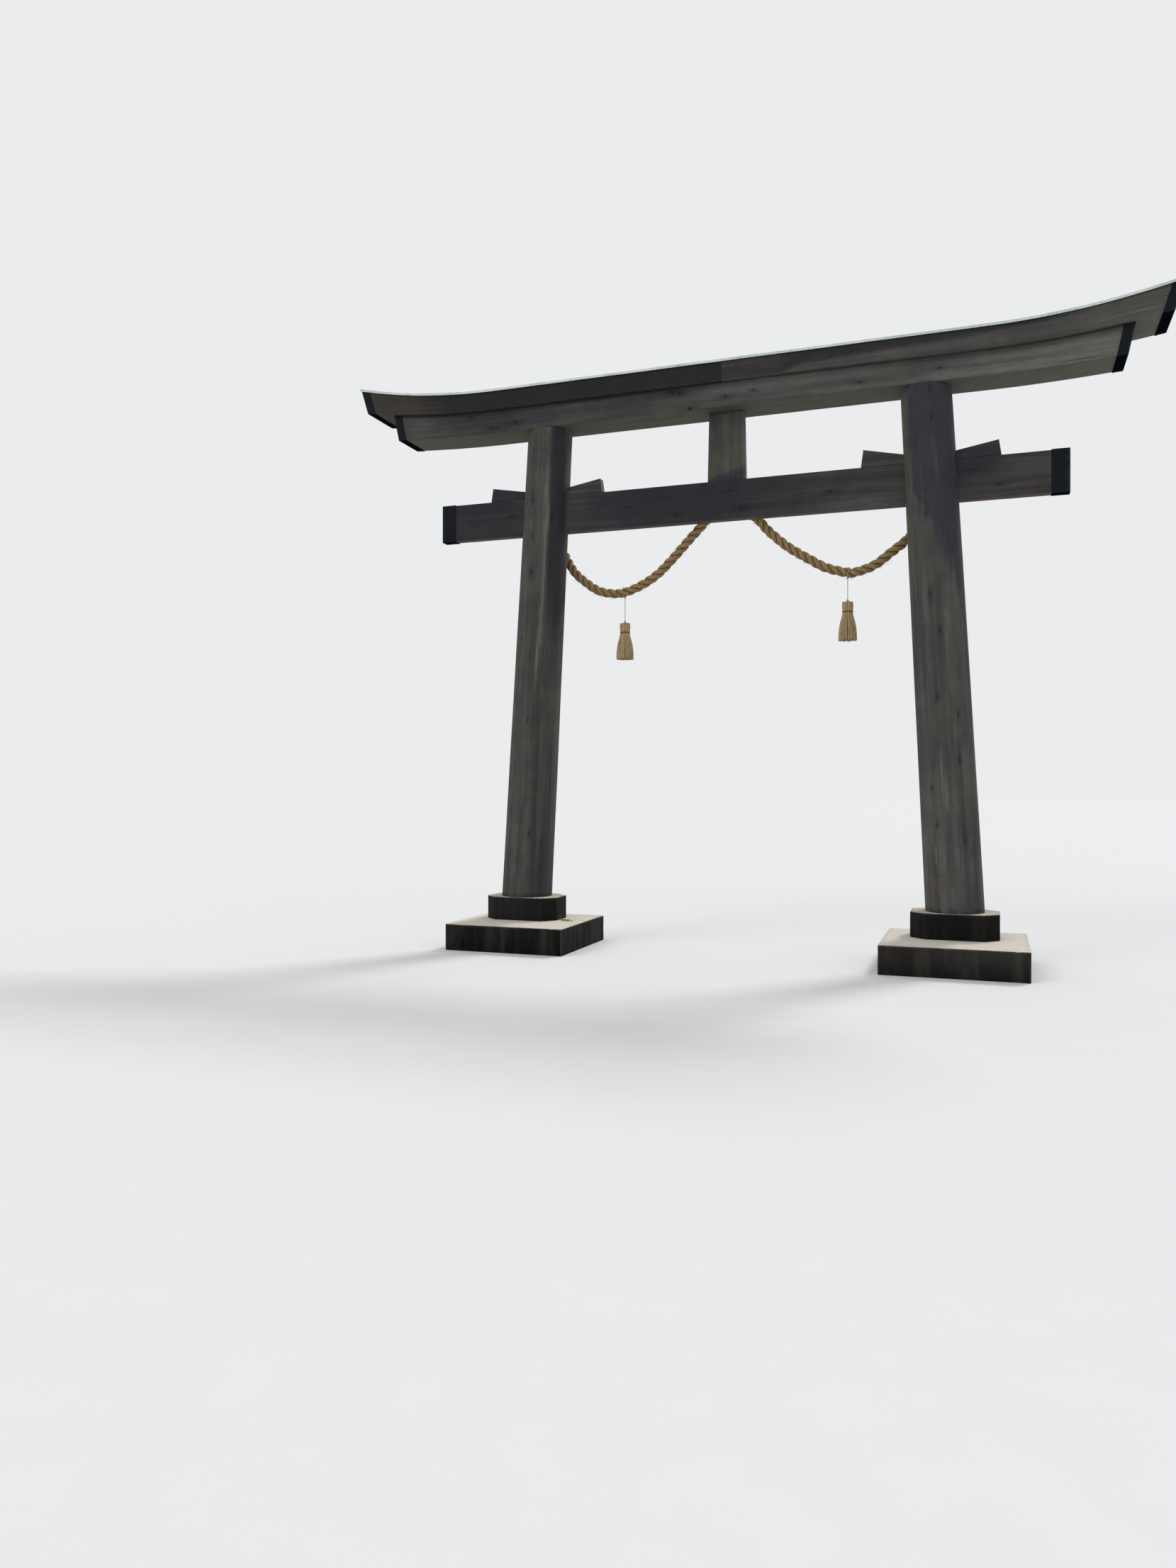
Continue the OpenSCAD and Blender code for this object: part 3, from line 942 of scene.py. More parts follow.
@dataclass(frozen=True)
class StrawFinish(Finish):
    """Dry rice straw: pale and brown stems, with painted shade where they lie deep."""

    pale: Colour = srgb(182, 154, 108)
    brown: Colour = srgb(118, 90, 56)
    # Colour of the painted shade where straws lie deep.
    deep: Colour = srgb(62, 44, 26)
    green: Colour = srgb(122, 110, 74)

    def paint(self, coat: Coat) -> None:
        """Gives the new material its pattern, by the mesh's grain, shade and deep values.

        Args:
            coat: the material's nodes.
        """
        w = coat.wires
        straw = w.group(straw_fibre(), Vector=w.own("grain"))
        tone = w.mix(straw["Stripe"], self.brown, self.pale)
        tone = w.mix(w.between(straw["Tone"], 0.5, 0.75), tone, self.green)
        tone = w.mix(w.between(w.own("shade"), 0.45, 1.0), tone, self.brown)
        tone = w.over(tone, self.deep, w.between(w.own("deep"), 0.1, 0.95), 0.85)
        coat.finish(tone, 0.72, straw["Height"], 0.0022, Specular_IOR_Level=0.35)


@dataclass(frozen=True)
class IronFinish(Finish):
    """Dark forged iron with rust in its pits."""

    base: Colour = srgb(46, 42, 40)
    rust: Colour = srgb(98, 58, 36)

    def paint(self, coat: Coat) -> None:
        """Gives the new material its pattern.

        Args:
            coat: the material's nodes.
        """
        w = coat.wires
        weather = w.group(weather_patches(), Vector=coat.place, Up=coat.up, Scale=8.0)
        pits = w.grain(coat.place, 160.0, 3.0)
        tone = w.mix(w.times(weather["Patch"], 0.7), self.base, self.rust)
        rough = w.plus(0.5, w.times(pits, 0.3))
        coat.finish(tone, rough, pits, 0.0012, Metallic=0.7)


@dataclass(frozen=True)
class GateSizes:
    """Driving sizes of the gate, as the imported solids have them, in metres."""

    post_spacing: float = 5.150
    post_foot_d: float = 0.640
    post_top_d: float = 0.560
    post_lean: float = math.radians(3.07)
    z_post: float = 0.630
    z_lower: float = 6.452
    lower_h: float = 0.283
    lower_d: float = 0.500
    upper_h: float = 0.250
    upper_d: float = 0.620
    ridge_rise: float = 0.090
    level_past: float = 0.640
    lower_past: float = 2.020
    upper_past: float = 0.425
    lower_slant: float = math.radians(12)
    upper_slant: float = math.radians(17)
    lower_sweep_r: float = 20.000
    seat_sweep_r: float = 11.600
    top_sweep_r: float = 8.300
    cap_t: float = 0.004
    lower_cap_len: float = 0.105
    upper_cap_len: float = 0.105
    roof_t: float = 0.006
    rim_out: float = 0.016
    rim_h: float = 0.035
    roof_mid_len: float = 3.300

    def post_x(self, z: Array | float) -> Array | float:
        """Distance of a post's middle from the gate's middle at height z."""
        return self.post_spacing / 2 - (z - self.z_post) * math.tan(self.post_lean)

    def post_r(self, z: Array) -> Array:
        """Radius of a post at height z: a straight taper from foot to top."""
        share = (z - self.z_post) / (self.z_lower - self.z_post)
        return (self.post_foot_d + (self.post_top_d - self.post_foot_d) * share) / 2

    @property
    def level_half(self) -> float:
        """Half the length of the lintels' level middle."""
        return self.post_x(self.z_lower) + self.level_past

    @property
    def lower_half(self) -> float:
        """Half the length of the lower lintel's underside."""
        return self.post_x(self.z_lower) + self.lower_past

    @property
    def upper_half(self) -> float:
        """Half the length of the upper lintel's underside."""
        return self.lower_half + self.upper_past

    def sweep(self, x: Array, radius: float) -> Array:
        """Height gained at x by an arc of that radius that starts level at level_half."""
        past = np.maximum(np.abs(x) - self.level_half, 0.0)
        return radius - np.sqrt(radius**2 - past**2)

    def under(self, x: Array) -> Array:
        """Height of the lower lintel's underside at x."""
        return self.z_lower + self.sweep(x, self.lower_sweep_r)

    def seat(self, x: Array) -> Array:
        """Height of the joint between the two lintels at x."""
        return self.z_lower + self.lower_h + self.sweep(x, self.seat_sweep_r)

    def eave(self, x: Array) -> Array:
        """Height of the upper lintel's top front edge at x."""
        return self.z_lower + self.lower_h + self.upper_h + self.sweep(x, self.top_sweep_r)


GATE = GateSizes()


def boxed(half_depth: float, height: float) -> Section:
    """Corners of a rectangle that stands on zero."""
    return [(-half_depth, 0.0), (half_depth, 0.0), (half_depth, height), (-half_depth, height)]


def ridged(half_depth: float, height: float) -> Section:
    """Corners of a rectangle that stands on zero, with the ridge on top."""
    low = boxed(half_depth, height)
    return [*low[:3], (0.0, height + GATE.ridge_rise), low[3]]


@dataclass(frozen=True)
class Relief:
    """How deep weathering has eaten into a timber, in metres; a crack is dark from the depth dark_at."""

    inset: float = 0.0008
    fibre: float = 0.0016
    hollow: float = 0.0025
    edge: float = 0.0030
    dark_at: float = 0.0080


def weathered(
    rings: Array, grain: Array, cut: Array | float, relief: Relief, seed: int
) -> tuple[Array, dict[str, Array]]:
    """Eats a timber's surface inwards: an even inset, ridged fibres, broad hollows, frayed edges and cracks.

    Args:
        rings: the sound surface (rows, columns, 3).
        grain: coordinates (rows, columns, 3) with the grain along the first.
        cut: crack depths (rows, columns), or 0.
        relief: depths of each effect.
        seed: picks the noise.

    Returns:
        The eaten rings, and the grain, edge and crack values for their points.
    """
    normal = outward(rings)
    edge = edges(normal)
    fibre = 0.5 + 0.5 * noise(grain, (1.8, 48.0, 48.0), seed)
    hollow = 0.5 + 0.5 * noise(grain, (0.9, 5.0, 5.0), seed + 1)
    frayed = edge * (0.5 + 0.5 * noise(grain, (7.0, 9.0, 9.0), seed + 2)) ** 2
    depth = relief.inset + relief.fibre * fibre + relief.hollow * hollow + relief.edge * frayed + cut
    open_share = np.clip(cut / relief.dark_at, 0.0, 1.0)
    return rings - normal * depth[..., None], {"grain": grain, "edge": edge, "crack": open_share}


def dress(node: str, suffix: str, finish: TimberFinish, rings: Array, values: dict[str, Array]) -> None:
    """Makes the piece that stands for a timber's node."""
    slot = "wedge_timber" if node.startswith("wedge") else "weathered_timber"
    Surface().add(rings, **values).piece(node + suffix, finish, slot, (node,))


def towards_ends(rings: Array, shrink: tuple[float, ...] = (0.96, 0.8, 0.5)) -> Array:
    """Adds rings that shrink to the middle of both end faces, so that the faces have points of their own.

    Args:
        rings: points (rows, columns, 3).
        shrink: the sizes of the added rings, from the rim inwards.

    Returns:
        The rings with as many more at both ends.
    """
    middle = rings.mean(axis=1, keepdims=True)
    share = np.array(shrink)[:, None, None]
    first = middle[:1] + (rings[:1] - middle[:1]) * share[::-1]
    last = middle[-1:] + (rings[-1:] - middle[-1:]) * share
    return np.concatenate([first, rings, last])


@dataclass(frozen=True)
class Post:
    """A round post that leans inwards, silvered and streaked, with drying cracks and nail holes.

    turn is an angle round the post, from 0 at the front towards +X, and holes are (turn, height, radius).
    """

    side: Side
    light: Colour
    dark: Colour
    # Colour of staining, also laid on as painted shade.
    stain: Colour
    holes: tuple[tuple[float, float, float], ...]
    checks: tuple[Check, ...]
    step: float = 0.0125
    rows: int = 140
    round_r: float = 0.3

    def marks(self, turn: Array, z: Array) -> dict[str, Array]:
        """Shares of staining and painted shade, olive and pale streaks: bells and steps round the post that
        drift with height.

        Args:
            turn: angles round the post, from -pi to pi.
            z: heights, of the same shape.

        Returns:
            The three values by name.
        """
        grain = joined(z, np.cos(turn), np.sin(turn))
        drift = 0.16 * noise(grain, (0.8, 0.0, 0.0), 6) + 0.03 * noise(grain, (5.0, 0.0, 0.0), 7)
        uneven = 0.05 * noise(grain, (2.2, 4.0, 4.0), 8) + 0.035 * noise(grain, (6.0, 9.0, 9.0), 9)
        if self.side is Side.LEFT:
            middle = np.interp(z, [3.0, 3.5, 4.3, 5.4, 6.4], [0.28, 0.31, 0.40, 0.40, 0.30]) + uneven
            pale = bell(turn, middle, 0.085) * rise(z, 2.6, 3.8) * (0.95 - 0.57 * rise(z, 5.5, 6.3))
            pale += 0.42 * bell(turn + drift, 0.02, 0.30) + 0.30 * bell(turn + drift, -0.55, 0.22)
            # Darker band over the post's right half: partly staining, partly painted shade of that side.
            right = 1.0 + 0.22 * (6.2 - z) + 2.0 * uneven
            band = rise(turn + uneven, middle + 0.08, middle + 0.24) * fall(turn, right, right + 0.4)
            stain = band * (0.40 + 0.60 * rise(z, 3.2, 4.8))
            olive = 0.8 * rise(turn, 1.1, 1.5) * rise(z, 4.8, 5.6)
            olive += 0.30 * rise(-turn, 0.0, 0.8) * rise(z, 3.5, 5.5)
        else:
            near = turn + drift
            pale = 0.50 * bell(near, 0.22, 0.13) * rise(z, 4.9, 5.6) * fall(z, 5.8, 6.1)
            pale += 0.55 * bell(near, 0.45, 0.34) * rise(z, 2.0, 2.6) * fall(z, 3.9, 4.6)
            pale += 0.75 * bell(near, -0.08, 0.13) * rise(z, 1.6, 1.9) * fall(z, 2.2, 2.7)
            pale += 1.1 * bell(turn, -0.52, 0.045) * rise(z, 1.10, 1.18) * fall(z, 1.34, 1.42)
            pale += 0.35 * bell(near, 0.2, 0.5) * fall(z, 1.6, 2.2)
            edge = np.interp(z, [4.1, 4.5, 4.9, 5.3], [0.50, 0.02, -0.15, -1.10]) + 3.0 * uneven
            stain = 0.95 * rise(turn, edge, edge + 0.50) * rise(z + 3.0 * uneven, 4.05, 4.65)
            stain = stain * (1.0 - 0.35 * rise(turn, 0.9, 1.2))
            stain = np.maximum(stain, 1.0 * bell(turn, 0.95, 0.22) * rise(z, 3.9, 4.3))
            # Painted shade down the post's unlit right edge, from about 2.2 m up.
            stain = np.maximum(stain, 0.95 * bell(turn, 1.22, 0.16) * rise(z, 2.2, 3.0))
            olive = 0.8 * fall(turn, -1.0, -0.8) * rise(z, 4.2, 4.8)
            below = rise(z, 3.8, 4.4) * fall(z, 4.9, 5.1)
            olive += 0.35 * fall(turn, -0.2, 0.3) * below
            olive += 0.9 * bell(turn, -0.35, 0.32) * bell(z, 0.95, 0.14)
            olive += 0.9 * rise(turn, 0.9, 1.2) * rise(z, 6.0, 6.3)
        return {"stain": stain, "olive": olive, "pale": pale}

    def rings(self) -> tuple[Array, dict[str, Array]]:
        """A circle of the post's radius about its leaning middle at each height, eaten by the weather.

        Returns:
            The rings (rows, columns, 3) and the values for their points.
        """
        length = 2 * math.pi * self.round_r
        across = [check.places() for check in self.checks]
        around = np.concatenate([np.arange(0.0, length, self.step), *across])
        around = np.unique(np.round(around % length, 4))
        low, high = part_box(f"post_{self.side.word}")
        heights = np.linspace(low.z, high.z, self.rows)
        cut = cracks(around, heights, length, self.checks)
        turn, z = np.meshgrid(around / self.round_r, heights)
        turn = turn + 0.02 * noise(joined(z, 0.0, 0.0), (0.8, 1.0, 1.0), 3 + self.side.value)
        radius = GATE.post_r(z)
        middle = self.side.value * GATE.post_x(z)
        rings = joined(middle + radius * np.sin(turn), -radius * np.cos(turn), z)
        grain = joined(z, radius * np.sin(turn), radius * np.cos(turn))
        relief = Relief(inset=0.0015, fibre=0.0014, hollow=0.004, edge=0.0)
        eaten, values = weathered(rings, grain, cut, relief, 11 + self.side.value)
        facing = (turn + math.pi) % (2 * math.pi) - math.pi
        # Painted contact shade: the foot, just above the block, is darkened through the crack share.
        damp = 0.42 * fall(z + 0.05 * noise(grain, (1.0, 26.0, 26.0), 5), 0.63, 0.71)
        values |= {"edge": 0.0, "crack": np.maximum(values["crack"], damp)}
        return eaten, values | self.marks(facing, z)

    def build(self) -> None:
        """Makes the post."""
        marks = []
        for turn, z, size in self.holes:
            radius = GATE.post_r(z)
            x = self.side.value * GATE.post_x(z) + radius * math.sin(turn)
            marks.append(Knot(x, -radius * math.cos(turn), z, size))
        rings, values = self.rings()
        finish = TimberFinish(
            f"post_timber_{self.side.word}", self.light, self.dark, self.stain, knots=tuple(marks),
            drawn=(1.0, 1.0, 0.35),
        )
        Surface().add(rings, **values).piece(
            f"{self.side.word}_post_log", finish, "weathered_timber", (f"post_{self.side.word}",)
        )


POSTS = (
    Post(
        Side.LEFT, light=srgb(92, 91, 88), dark=srgb(64, 62, 61), stain=srgb(48, 46, 52),
        holes=(
            (-0.262, 5.542, 0.013), (0.619, 5.322, 0.010), (-0.196, 5.101, 0.010), (-0.168, 4.654, 0.016),
            (-0.485, 3.846, 0.009), (0.038, 2.826, 0.009), (0.366, 1.430, 0.010),
        ),
        checks=(
            Check(0.94, 0.8, 6.2, 0.007, 0.024), Check(1.872, 0.64, 1.70, 0.0014, 0.005),
            Check(0.357, 0.64, 1.75, 0.0014, 0.005), Check(0.62, 2.2, 4.6), Check(1.30, 1.4, 3.6),
            Check(1.52, 4.0, 6.2), Check(1.70, 2.4, 3.3, 0.0016),
        ),
    ),
    Post(
        Side.RIGHT, light=srgb(98, 96, 93), dark=srgb(70, 68, 67), stain=srgb(58, 55, 64),
        holes=(
            (0.190, 6.387, 0.009), (0.180, 6.058, 0.010), (-0.223, 5.006, 0.013), (-0.225, 4.117, 0.013),
            (1.028, 3.981, 0.010), (0.056, 3.716, 0.011), (-0.170, 2.983, 0.011), (0.543, 2.795, 0.010),
            (0.495, 2.302, 0.010), (-0.558, 1.994, 0.010), (-0.412, 1.592, 0.011), (0.527, 1.419, 0.010),
        ),
        checks=(
            Check(0.94, 0.7, 6.0, 0.007, 0.024), Check(1.835, 0.66, 1.05, 0.0010, 0.003),
            Check(0.42, 3.9, 6.1, 0.0018), Check(0.62, 1.0, 3.4), Check(1.30, 3.0, 5.4),
            Check(1.50, 0.9, 2.8), Check(0.10, 1.0, 1.8, 0.0016),
        ),
    ),
)


@dataclass(frozen=True)
class Sweep:
    """A lintel's form: its section, the curves of its underside and top, and ends that lean out.

    height is the section's height at the middle, and reach is half the length of the underside.
    """

    corners: Section
    bottom: Curve
    top: Curve
    height: float
    reach: float
    slant: float
    lean_power: int = 12

    def stations(self, section: Array, start: Array, lean: Array | float) -> tuple[Array, Array]:
        """Sets a section up at each place, between the two curves, and leans it out from its foot.

        A point moves out by the lean times its height over the end's foot, solved in three rounds.

        Args:
            section: points (columns, 2) whose second number is the height over the underside.
            start: places (rows, 1) along the underside.
            lean: tangents of the lean, for each place or for all.

        Returns:
            Places along X and heights (rows, columns).
        """
        share = np.minimum(section[:, 1] / self.height, 1.0)
        above = np.maximum(section[:, 1] - self.height, 0.0)
        foot = float(self.bottom(np.array(self.reach)))
        x = start + 0 * share
        for _ in range(3):
            z = self.bottom(x) + share * (self.top(x) - self.bottom(x)) + above
            x = start + lean * (z - foot)
        return x, z

    def carry(self, section: Array, along: Array) -> Array:
        """Carries a section along X, upright in the middle and leaning like the ends towards them.

        Args:
            section: points (columns, 2) whose second number is the height over the underside.
            along: places (rows,) along the underside.

        Returns:
            Rings (rows, columns, 3).
        """
        lean = np.sign(along) * (np.abs(along) / self.reach) ** self.lean_power * math.tan(self.slant)
        x, z = self.stations(section, along[:, None], lean[:, None])
        return joined(x, section[:, 0], z)


LOWER = Sweep(
    boxed(GATE.lower_d / 2, GATE.lower_h), GATE.under, GATE.seat, GATE.lower_h, GATE.lower_half,
    GATE.lower_slant,
)
UPPER = Sweep(
    ridged(GATE.upper_d / 2, GATE.upper_h), GATE.seat, GATE.eave, GATE.upper_h, GATE.upper_half,
    GATE.upper_slant,
)


@dataclass(frozen=True)
class TieBeam:
    """The tie beam through both posts. Holes are (x, height, radius) on its front."""

    checks: tuple[Check, ...] = (
        Check(0.94, -3.5, -2.75, 0.0016, 0.006), Check(0.80, 2.7, 3.4, 0.0016, 0.006),
        Check(0.40, -3.2, -1.2), Check(0.33, 0.2, 2.9), Check(0.50, 0.9, 3.3), Check(0.66, -1.8, 1.2),
    )
    holes: tuple[tuple[float, float, float], ...] = (
        (-2.777, 5.423, 0.013), (-1.218, 5.423, 0.010), (-0.795, 5.497, 0.010), (-0.600, 5.283, 0.015),
        (0.033, 5.507, 0.014), (0.186, 5.292, 0.019), (1.215, 5.398, 0.014), (2.759, 5.497, 0.010),
        (3.029, 5.316, 0.013),
    )
    ease: float = 0.007
    step: float = 0.013
    rows: int = 250

    def build(self) -> None:
        """Makes the beam between its caps."""
        low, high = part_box("tie_beam")
        outline = Outline(boxed(high.y, high.z - low.z), self.ease)
        around = outline.places(self.step, self.checks)
        x = np.linspace(-high.x, high.x, self.rows)
        section = outline.at(around) + np.array([0.0, low.z])
        rings = joined(x[:, None], section[:, 0], section[:, 1])
        grain = rings - np.array([0.0, 0.012, low.z + 0.21])
        eaten, values = weathered(rings, grain, cracks(around, x, outline.length, self.checks), Relief(), 21)
        knots = tuple(Knot(kx, low.y, kz, r) for kx, kz, r in self.holes)
        # Its reddish under colour is painted bounce light on the beam's underside.
        finish = TimberFinish(
            "tie_timber", knots=knots, light=srgb(80, 77, 77), dark=srgb(56, 53, 53), stain=srgb(46, 44, 51),
            olive=srgb(70, 67, 58), under=srgb(84, 64, 54), pale=srgb(106, 104, 114),
        )
        dress("tie_beam", "_timber", finish, eaten, values | self.marks(rings))

    def marks(self, rings: Array) -> dict[str, Array]:
        """Stain under the strut and on the left arm's top, and paler and olive bands, as bells and steps.

        Args:
            rings: the beam's points (rows, columns, 3).

        Returns:
            The three values by name.
        """
        x, z = rings[..., 0], rings[..., 2]
        left_arm = fall(x, -2.9, -2.4)
        stain = 1.0 * bell(x, -0.15, 0.75) + 0.85 * bell(x, -1.25, 0.7)
        stain += 0.30 * rise(x, 0.2, 0.6) * fall(x, 1.5, 2.3)
        stain = stain * (0.75 + 0.25 * rise(z, 5.22, 5.34)) + 0.30 * rise(x, 2.4, 2.6)
        stain += 0.60 * rise(x, 2.4, 2.6) * fall(x, 2.8, 3.3) * rise(z, 5.3, 5.5)
        stain += left_arm * (0.75 + 0.4 * rise(z, 5.46, 5.58))
        olive = 0.7 * bell(x, -1.95, 0.20) + 0.4 * rise(x, 2.6, 3.4)
        olive += 0.6 * left_arm * fall(z, 5.3, 5.45)
        pale = 0.62 * bell(x, 1.5, 0.8) * fall(z, 5.26, 5.48)
        pale += 0.25 * left_arm * bell(z, 5.30, 0.10)
        return {"stain": stain, "olive": olive, "pale": pale}


@dataclass(frozen=True)
class Wedge:
    """A wedge driven in over the tie beam: its top rises from its thin end, and its thick end slants."""

    side: Side
    slot: Slot
    finish: TimberFinish
    end_h: float = 0.170
    stain: float = 0.9
    olive: float = 0.0
    tip_h: float = 0.045
    reach: float = 0.725
    longer: float = 0.025
    ease: float = 0.006
    step: float = 0.025
    rows: int = 44

    def build(self) -> None:
        """Carries a box along the beam whose height grows and whose thick end slants."""
        node = f"wedge_{self.side.word}_{self.slot.word}"
        low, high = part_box(node)
        turned = self.side.value * self.slot.value
        post = self.side.value * GATE.post_x(low.z)
        outline = Outline([(-high.y, 0), (high.y, 0), (high.y, 1), (-high.y, 1)], self.ease)
        section = outline.at(outline.places(self.step))
        along = np.linspace(0.0, 1.0, self.rows)[:, None]
        height = self.tip_h + (self.end_h - self.tip_h) * along
        x = along * (self.reach + self.longer * (1.0 - np.clip(section[:, 1] / 0.93, 0.0, 1.0)) * along)
        z = low.z + section[:, 1] * height
        rings = towards_ends(joined(post + turned * x, section[:, 0], z))
        grain = rings - np.array([0.0, 0.02, low.z - 0.05])
        eaten, values = weathered(rings, grain, 0.0, Relief(hollow=0.001, edge=0.002), 31 + turned)
        end = np.zeros(rings.shape[:2])
        end[-3:] = 1.0
        values |= {"stain": self.stain * (1 - end), "olive": self.olive * (1 - end), "pale": 0.9 * end}
        dress(node, "_board", self.finish, eaten, values)


@dataclass(frozen=True)
class Strut:
    """The short board that stands on the tie beam under the middle of the lintels."""

    foot: float = 0.2275
    head: float = 0.210
    ease: float = 0.008
    step: float = 0.030
    rows: int = 52

    def build(self) -> None:
        """Carries a flat section up between its wider foot and its narrower top."""
        low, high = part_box("strut")
        outline = Outline([(-1, low.y), (1, low.y), (1, high.y), (-1, high.y)], self.ease)
        section = outline.at(outline.places(self.step))
        z = np.linspace(low.z, high.z, self.rows)[:, None]
        wide = self.foot + (self.head - self.foot) * (z - low.z) / (high.z - low.z)
        rings = joined(section[:, 0] * wide, section[:, 1], z)
        grain = rings[..., [2, 0, 1]] + np.array([0.0, 0.06, -0.10])
        eaten, values = weathered(rings, grain, 0.0, Relief(hollow=0.0015), 41)
        x, height = rings[..., 0], rings[..., 2] - low.z
        foot = 0.03 + 0.20 * x + 0.05 * noise(rings, (9.0, 9.0, 4.0), 43)
        values["stain"] = 0.9 * fall(height, foot, foot + 0.16) + 0.9 * rise(height, 0.77, 0.81)
        values["olive"] = 1.0 * fall(height, 0.2, 0.6) * fall(x, -0.15, 0.05)
        values["pale"] = 0.25 * bell(x, 0.05, 0.13) * rise(height, 0.2, 0.5) + 0.6 * rise(x, 0.185, 0.21)
        finish = TimberFinish("strut_timber", srgb(88, 86, 81), srgb(70, 68, 65))
        dress("strut", "_board", finish, eaten, values)


@dataclass(frozen=True)
class LowerLintel:
    """The lower of the two upswept lintels. Holes are (x, height, radius) on its front."""

    checks: tuple[Check, ...] = (
        Check(1.545, -4.0, -3.4, 0.0020, 0.008), Check(1.530, 3.6, 4.1, 0.0018, 0.007),
        Check(0.22, -2.2, 1.9), Check(0.70, 1.2, 4.0), Check(0.20, -1.6, 1.5), Check(0.33, 0.6, 3.4),
        Check(0.57, -4.0, -2.0),
    )
    holes: tuple[tuple[float, float, float], ...] = (
        (-2.946, 6.515, 0.014), (-0.608, 6.689, 0.022), (-0.521, 6.661, 0.020), (0.035, 6.565, 0.015),
        (1.563, 6.542, 0.011), (2.419, 6.598, 0.012), (-2.644, 6.557, 0.020), (-3.261, 6.690, 0.014),
        (0.352, 6.600, 0.010), (-0.391, 6.470, 0.020),
    )
    ease: float = 0.008
    step: float = 0.0135
    rows: int = 270

    def build(self) -> None:
        """Carries the section along the sweep and dresses it."""
        outline = Outline(LOWER.corners, self.ease)
        around = outline.places(self.step, self.checks)
        x = np.linspace(-LOWER.reach, LOWER.reach, self.rows)
        rings = LOWER.carry(outline.at(around), x)
        grain = rings - np.array([0.0, 0.03, GATE.z_lower + 0.12])
        grain[..., 2] -= GATE.sweep(rings[..., 0], GATE.lower_sweep_r)
        eaten, values = weathered(rings, grain, cracks(around, x, outline.length, self.checks), Relief(), 51)
        along, share = rings[..., 0], 1.0 + (rings[..., 2] - GATE.seat(rings[..., 0])) / GATE.lower_h
        stain = 0.5 * rise(share, 0.85, 1.0) + 0.50 * bell(along, -1.4, 0.9) + 0.15
        stain += 0.55 * fall(along, -3.0, -2.2) * (1.0 - 0.5 * rise(-along, 3.3, 4.0))
        values["stain"] = stain + 0.4 * bell(along, -2.3, 0.35) * bell(share, 0.5, 0.35)
        olive = 0.7 * fall(along, -2.4, -0.6) * fall(share, 0.1, 0.5)
        values["olive"] = olive + 0.3 * bell(along, -0.9, 0.5)
        pale = 0.85 * rise(along, 0.6, 3.6) * (1.0 - 0.5 * rise(share, 0.6, 0.95))
        values["pale"] = pale + 0.25 * bell(share, 0.15, 0.12)
        marks = tuple(Knot(kx, -GATE.lower_d / 2, kz, r) for kx, kz, r in self.holes)
        finish = TimberFinish("lower_timber", srgb(96, 96, 93), srgb(78, 77, 75), knots=marks)
        dress("lower_lintel", "_timber", finish, eaten, values)


@dataclass(frozen=True)
class UpperLintel:
    """One length of the upper lintel, butted over the strut, its top ridged to carry the roof."""

    side: Side
    finish: TimberFinish
    checks: tuple[Check, ...]
    ease: float = 0.008
    step: float = 0.0145
    rows: int = 150

    def build(self) -> None:
        """Carries the ridged section along the sweep and dresses it."""
        outline = Outline(UPPER.corners, self.ease)
        around = outline.places(self.step, self.checks)
        x = np.linspace(0.0, UPPER.reach, self.rows) * self.side.value
        rings = UPPER.carry(outline.at(around), x)
        grain = rings - np.array([0.3 * self.side.value, -0.02, GATE.z_lower + GATE.lower_h + 0.16])
        grain[..., 2] -= GATE.sweep(rings[..., 0], GATE.seat_sweep_r)
        cut = cracks(around, x, outline.length, self.checks)
        eaten, values = weathered(rings, grain, cut, Relief(), 61 + self.side.value)
        dress(f"upper_lintel_{self.side.word}", "_timber", self.finish, eaten, values | self.marks(rings))

    def marks(self, rings: Array) -> dict[str, Array]:
        """Darkening under the roof's rim, partly staining and partly painted shade of the rim: nearly all
        over the left length, half way on the right.

        Args:
            rings: the lintel's points (rows, columns, 3).

        Returns:
            The shares of staining and painted shade, olive and pale, by name.
        """
        x = rings[..., 0]
        share = (rings[..., 2] - GATE.seat(x)) / (GATE.eave(x) - GATE.seat(x))
        if self.side is Side.LEFT:
            low = rise(x, -2.2, -0.4)
            stain = 1.25 * np.clip((share + 0.35 + 0.3 * (1 - low)) / 0.5, 0.0, 1.0)
            return {"stain": stain * (1.0 - 0.55 * rise(-x, 2.9, 4.3)), "olive": 0.8 * rise(-x, 2.6, 3.6)}
        bottom = 0.18 + 0.32 * rise(x, 0.7, 3.4) - 0.4 * fall(x, 0.6, 0.95)
        stain = (1.20 - 0.75 * rise(x, 2.6, 4.3)) * np.clip((share - bottom) / 0.28, 0.0, 1.0)
        olive = 0.9 * fall(x, 0.6, 0.9)
        return {"stain": stain * (1.0 - 0.4 * olive), "pale": 0.55 * rise(x, 2.8, 4.3), "olive": olive}


UPPER_LINTELS = (
    UpperLintel(
        Side.LEFT,
        TimberFinish(
            # Its under colour is dark, as painted shade on the underside above the lower lintel.
            "upper_timber_left", srgb(66, 63, 61), srgb(50, 47, 46), srgb(35, 33, 37), under=srgb(58, 42, 43)
        ),
        (Check(0.75, -3.4, -0.8), Check(0.68, -2.4, -0.6)),
    ),
    UpperLintel(
        Side.RIGHT,
        TimberFinish(
            # Its under colour is light, as painted light that lifts the shaded underside above the lower
            # lintel.
            "upper_timber_right", srgb(88, 87, 84), srgb(72, 70, 68), srgb(46, 44, 49), under=srgb(92, 88, 80)
        ),
        (Check(0.70, 0.8, 3.9), Check(0.80, 2.2, 4.4)),
    ),
)


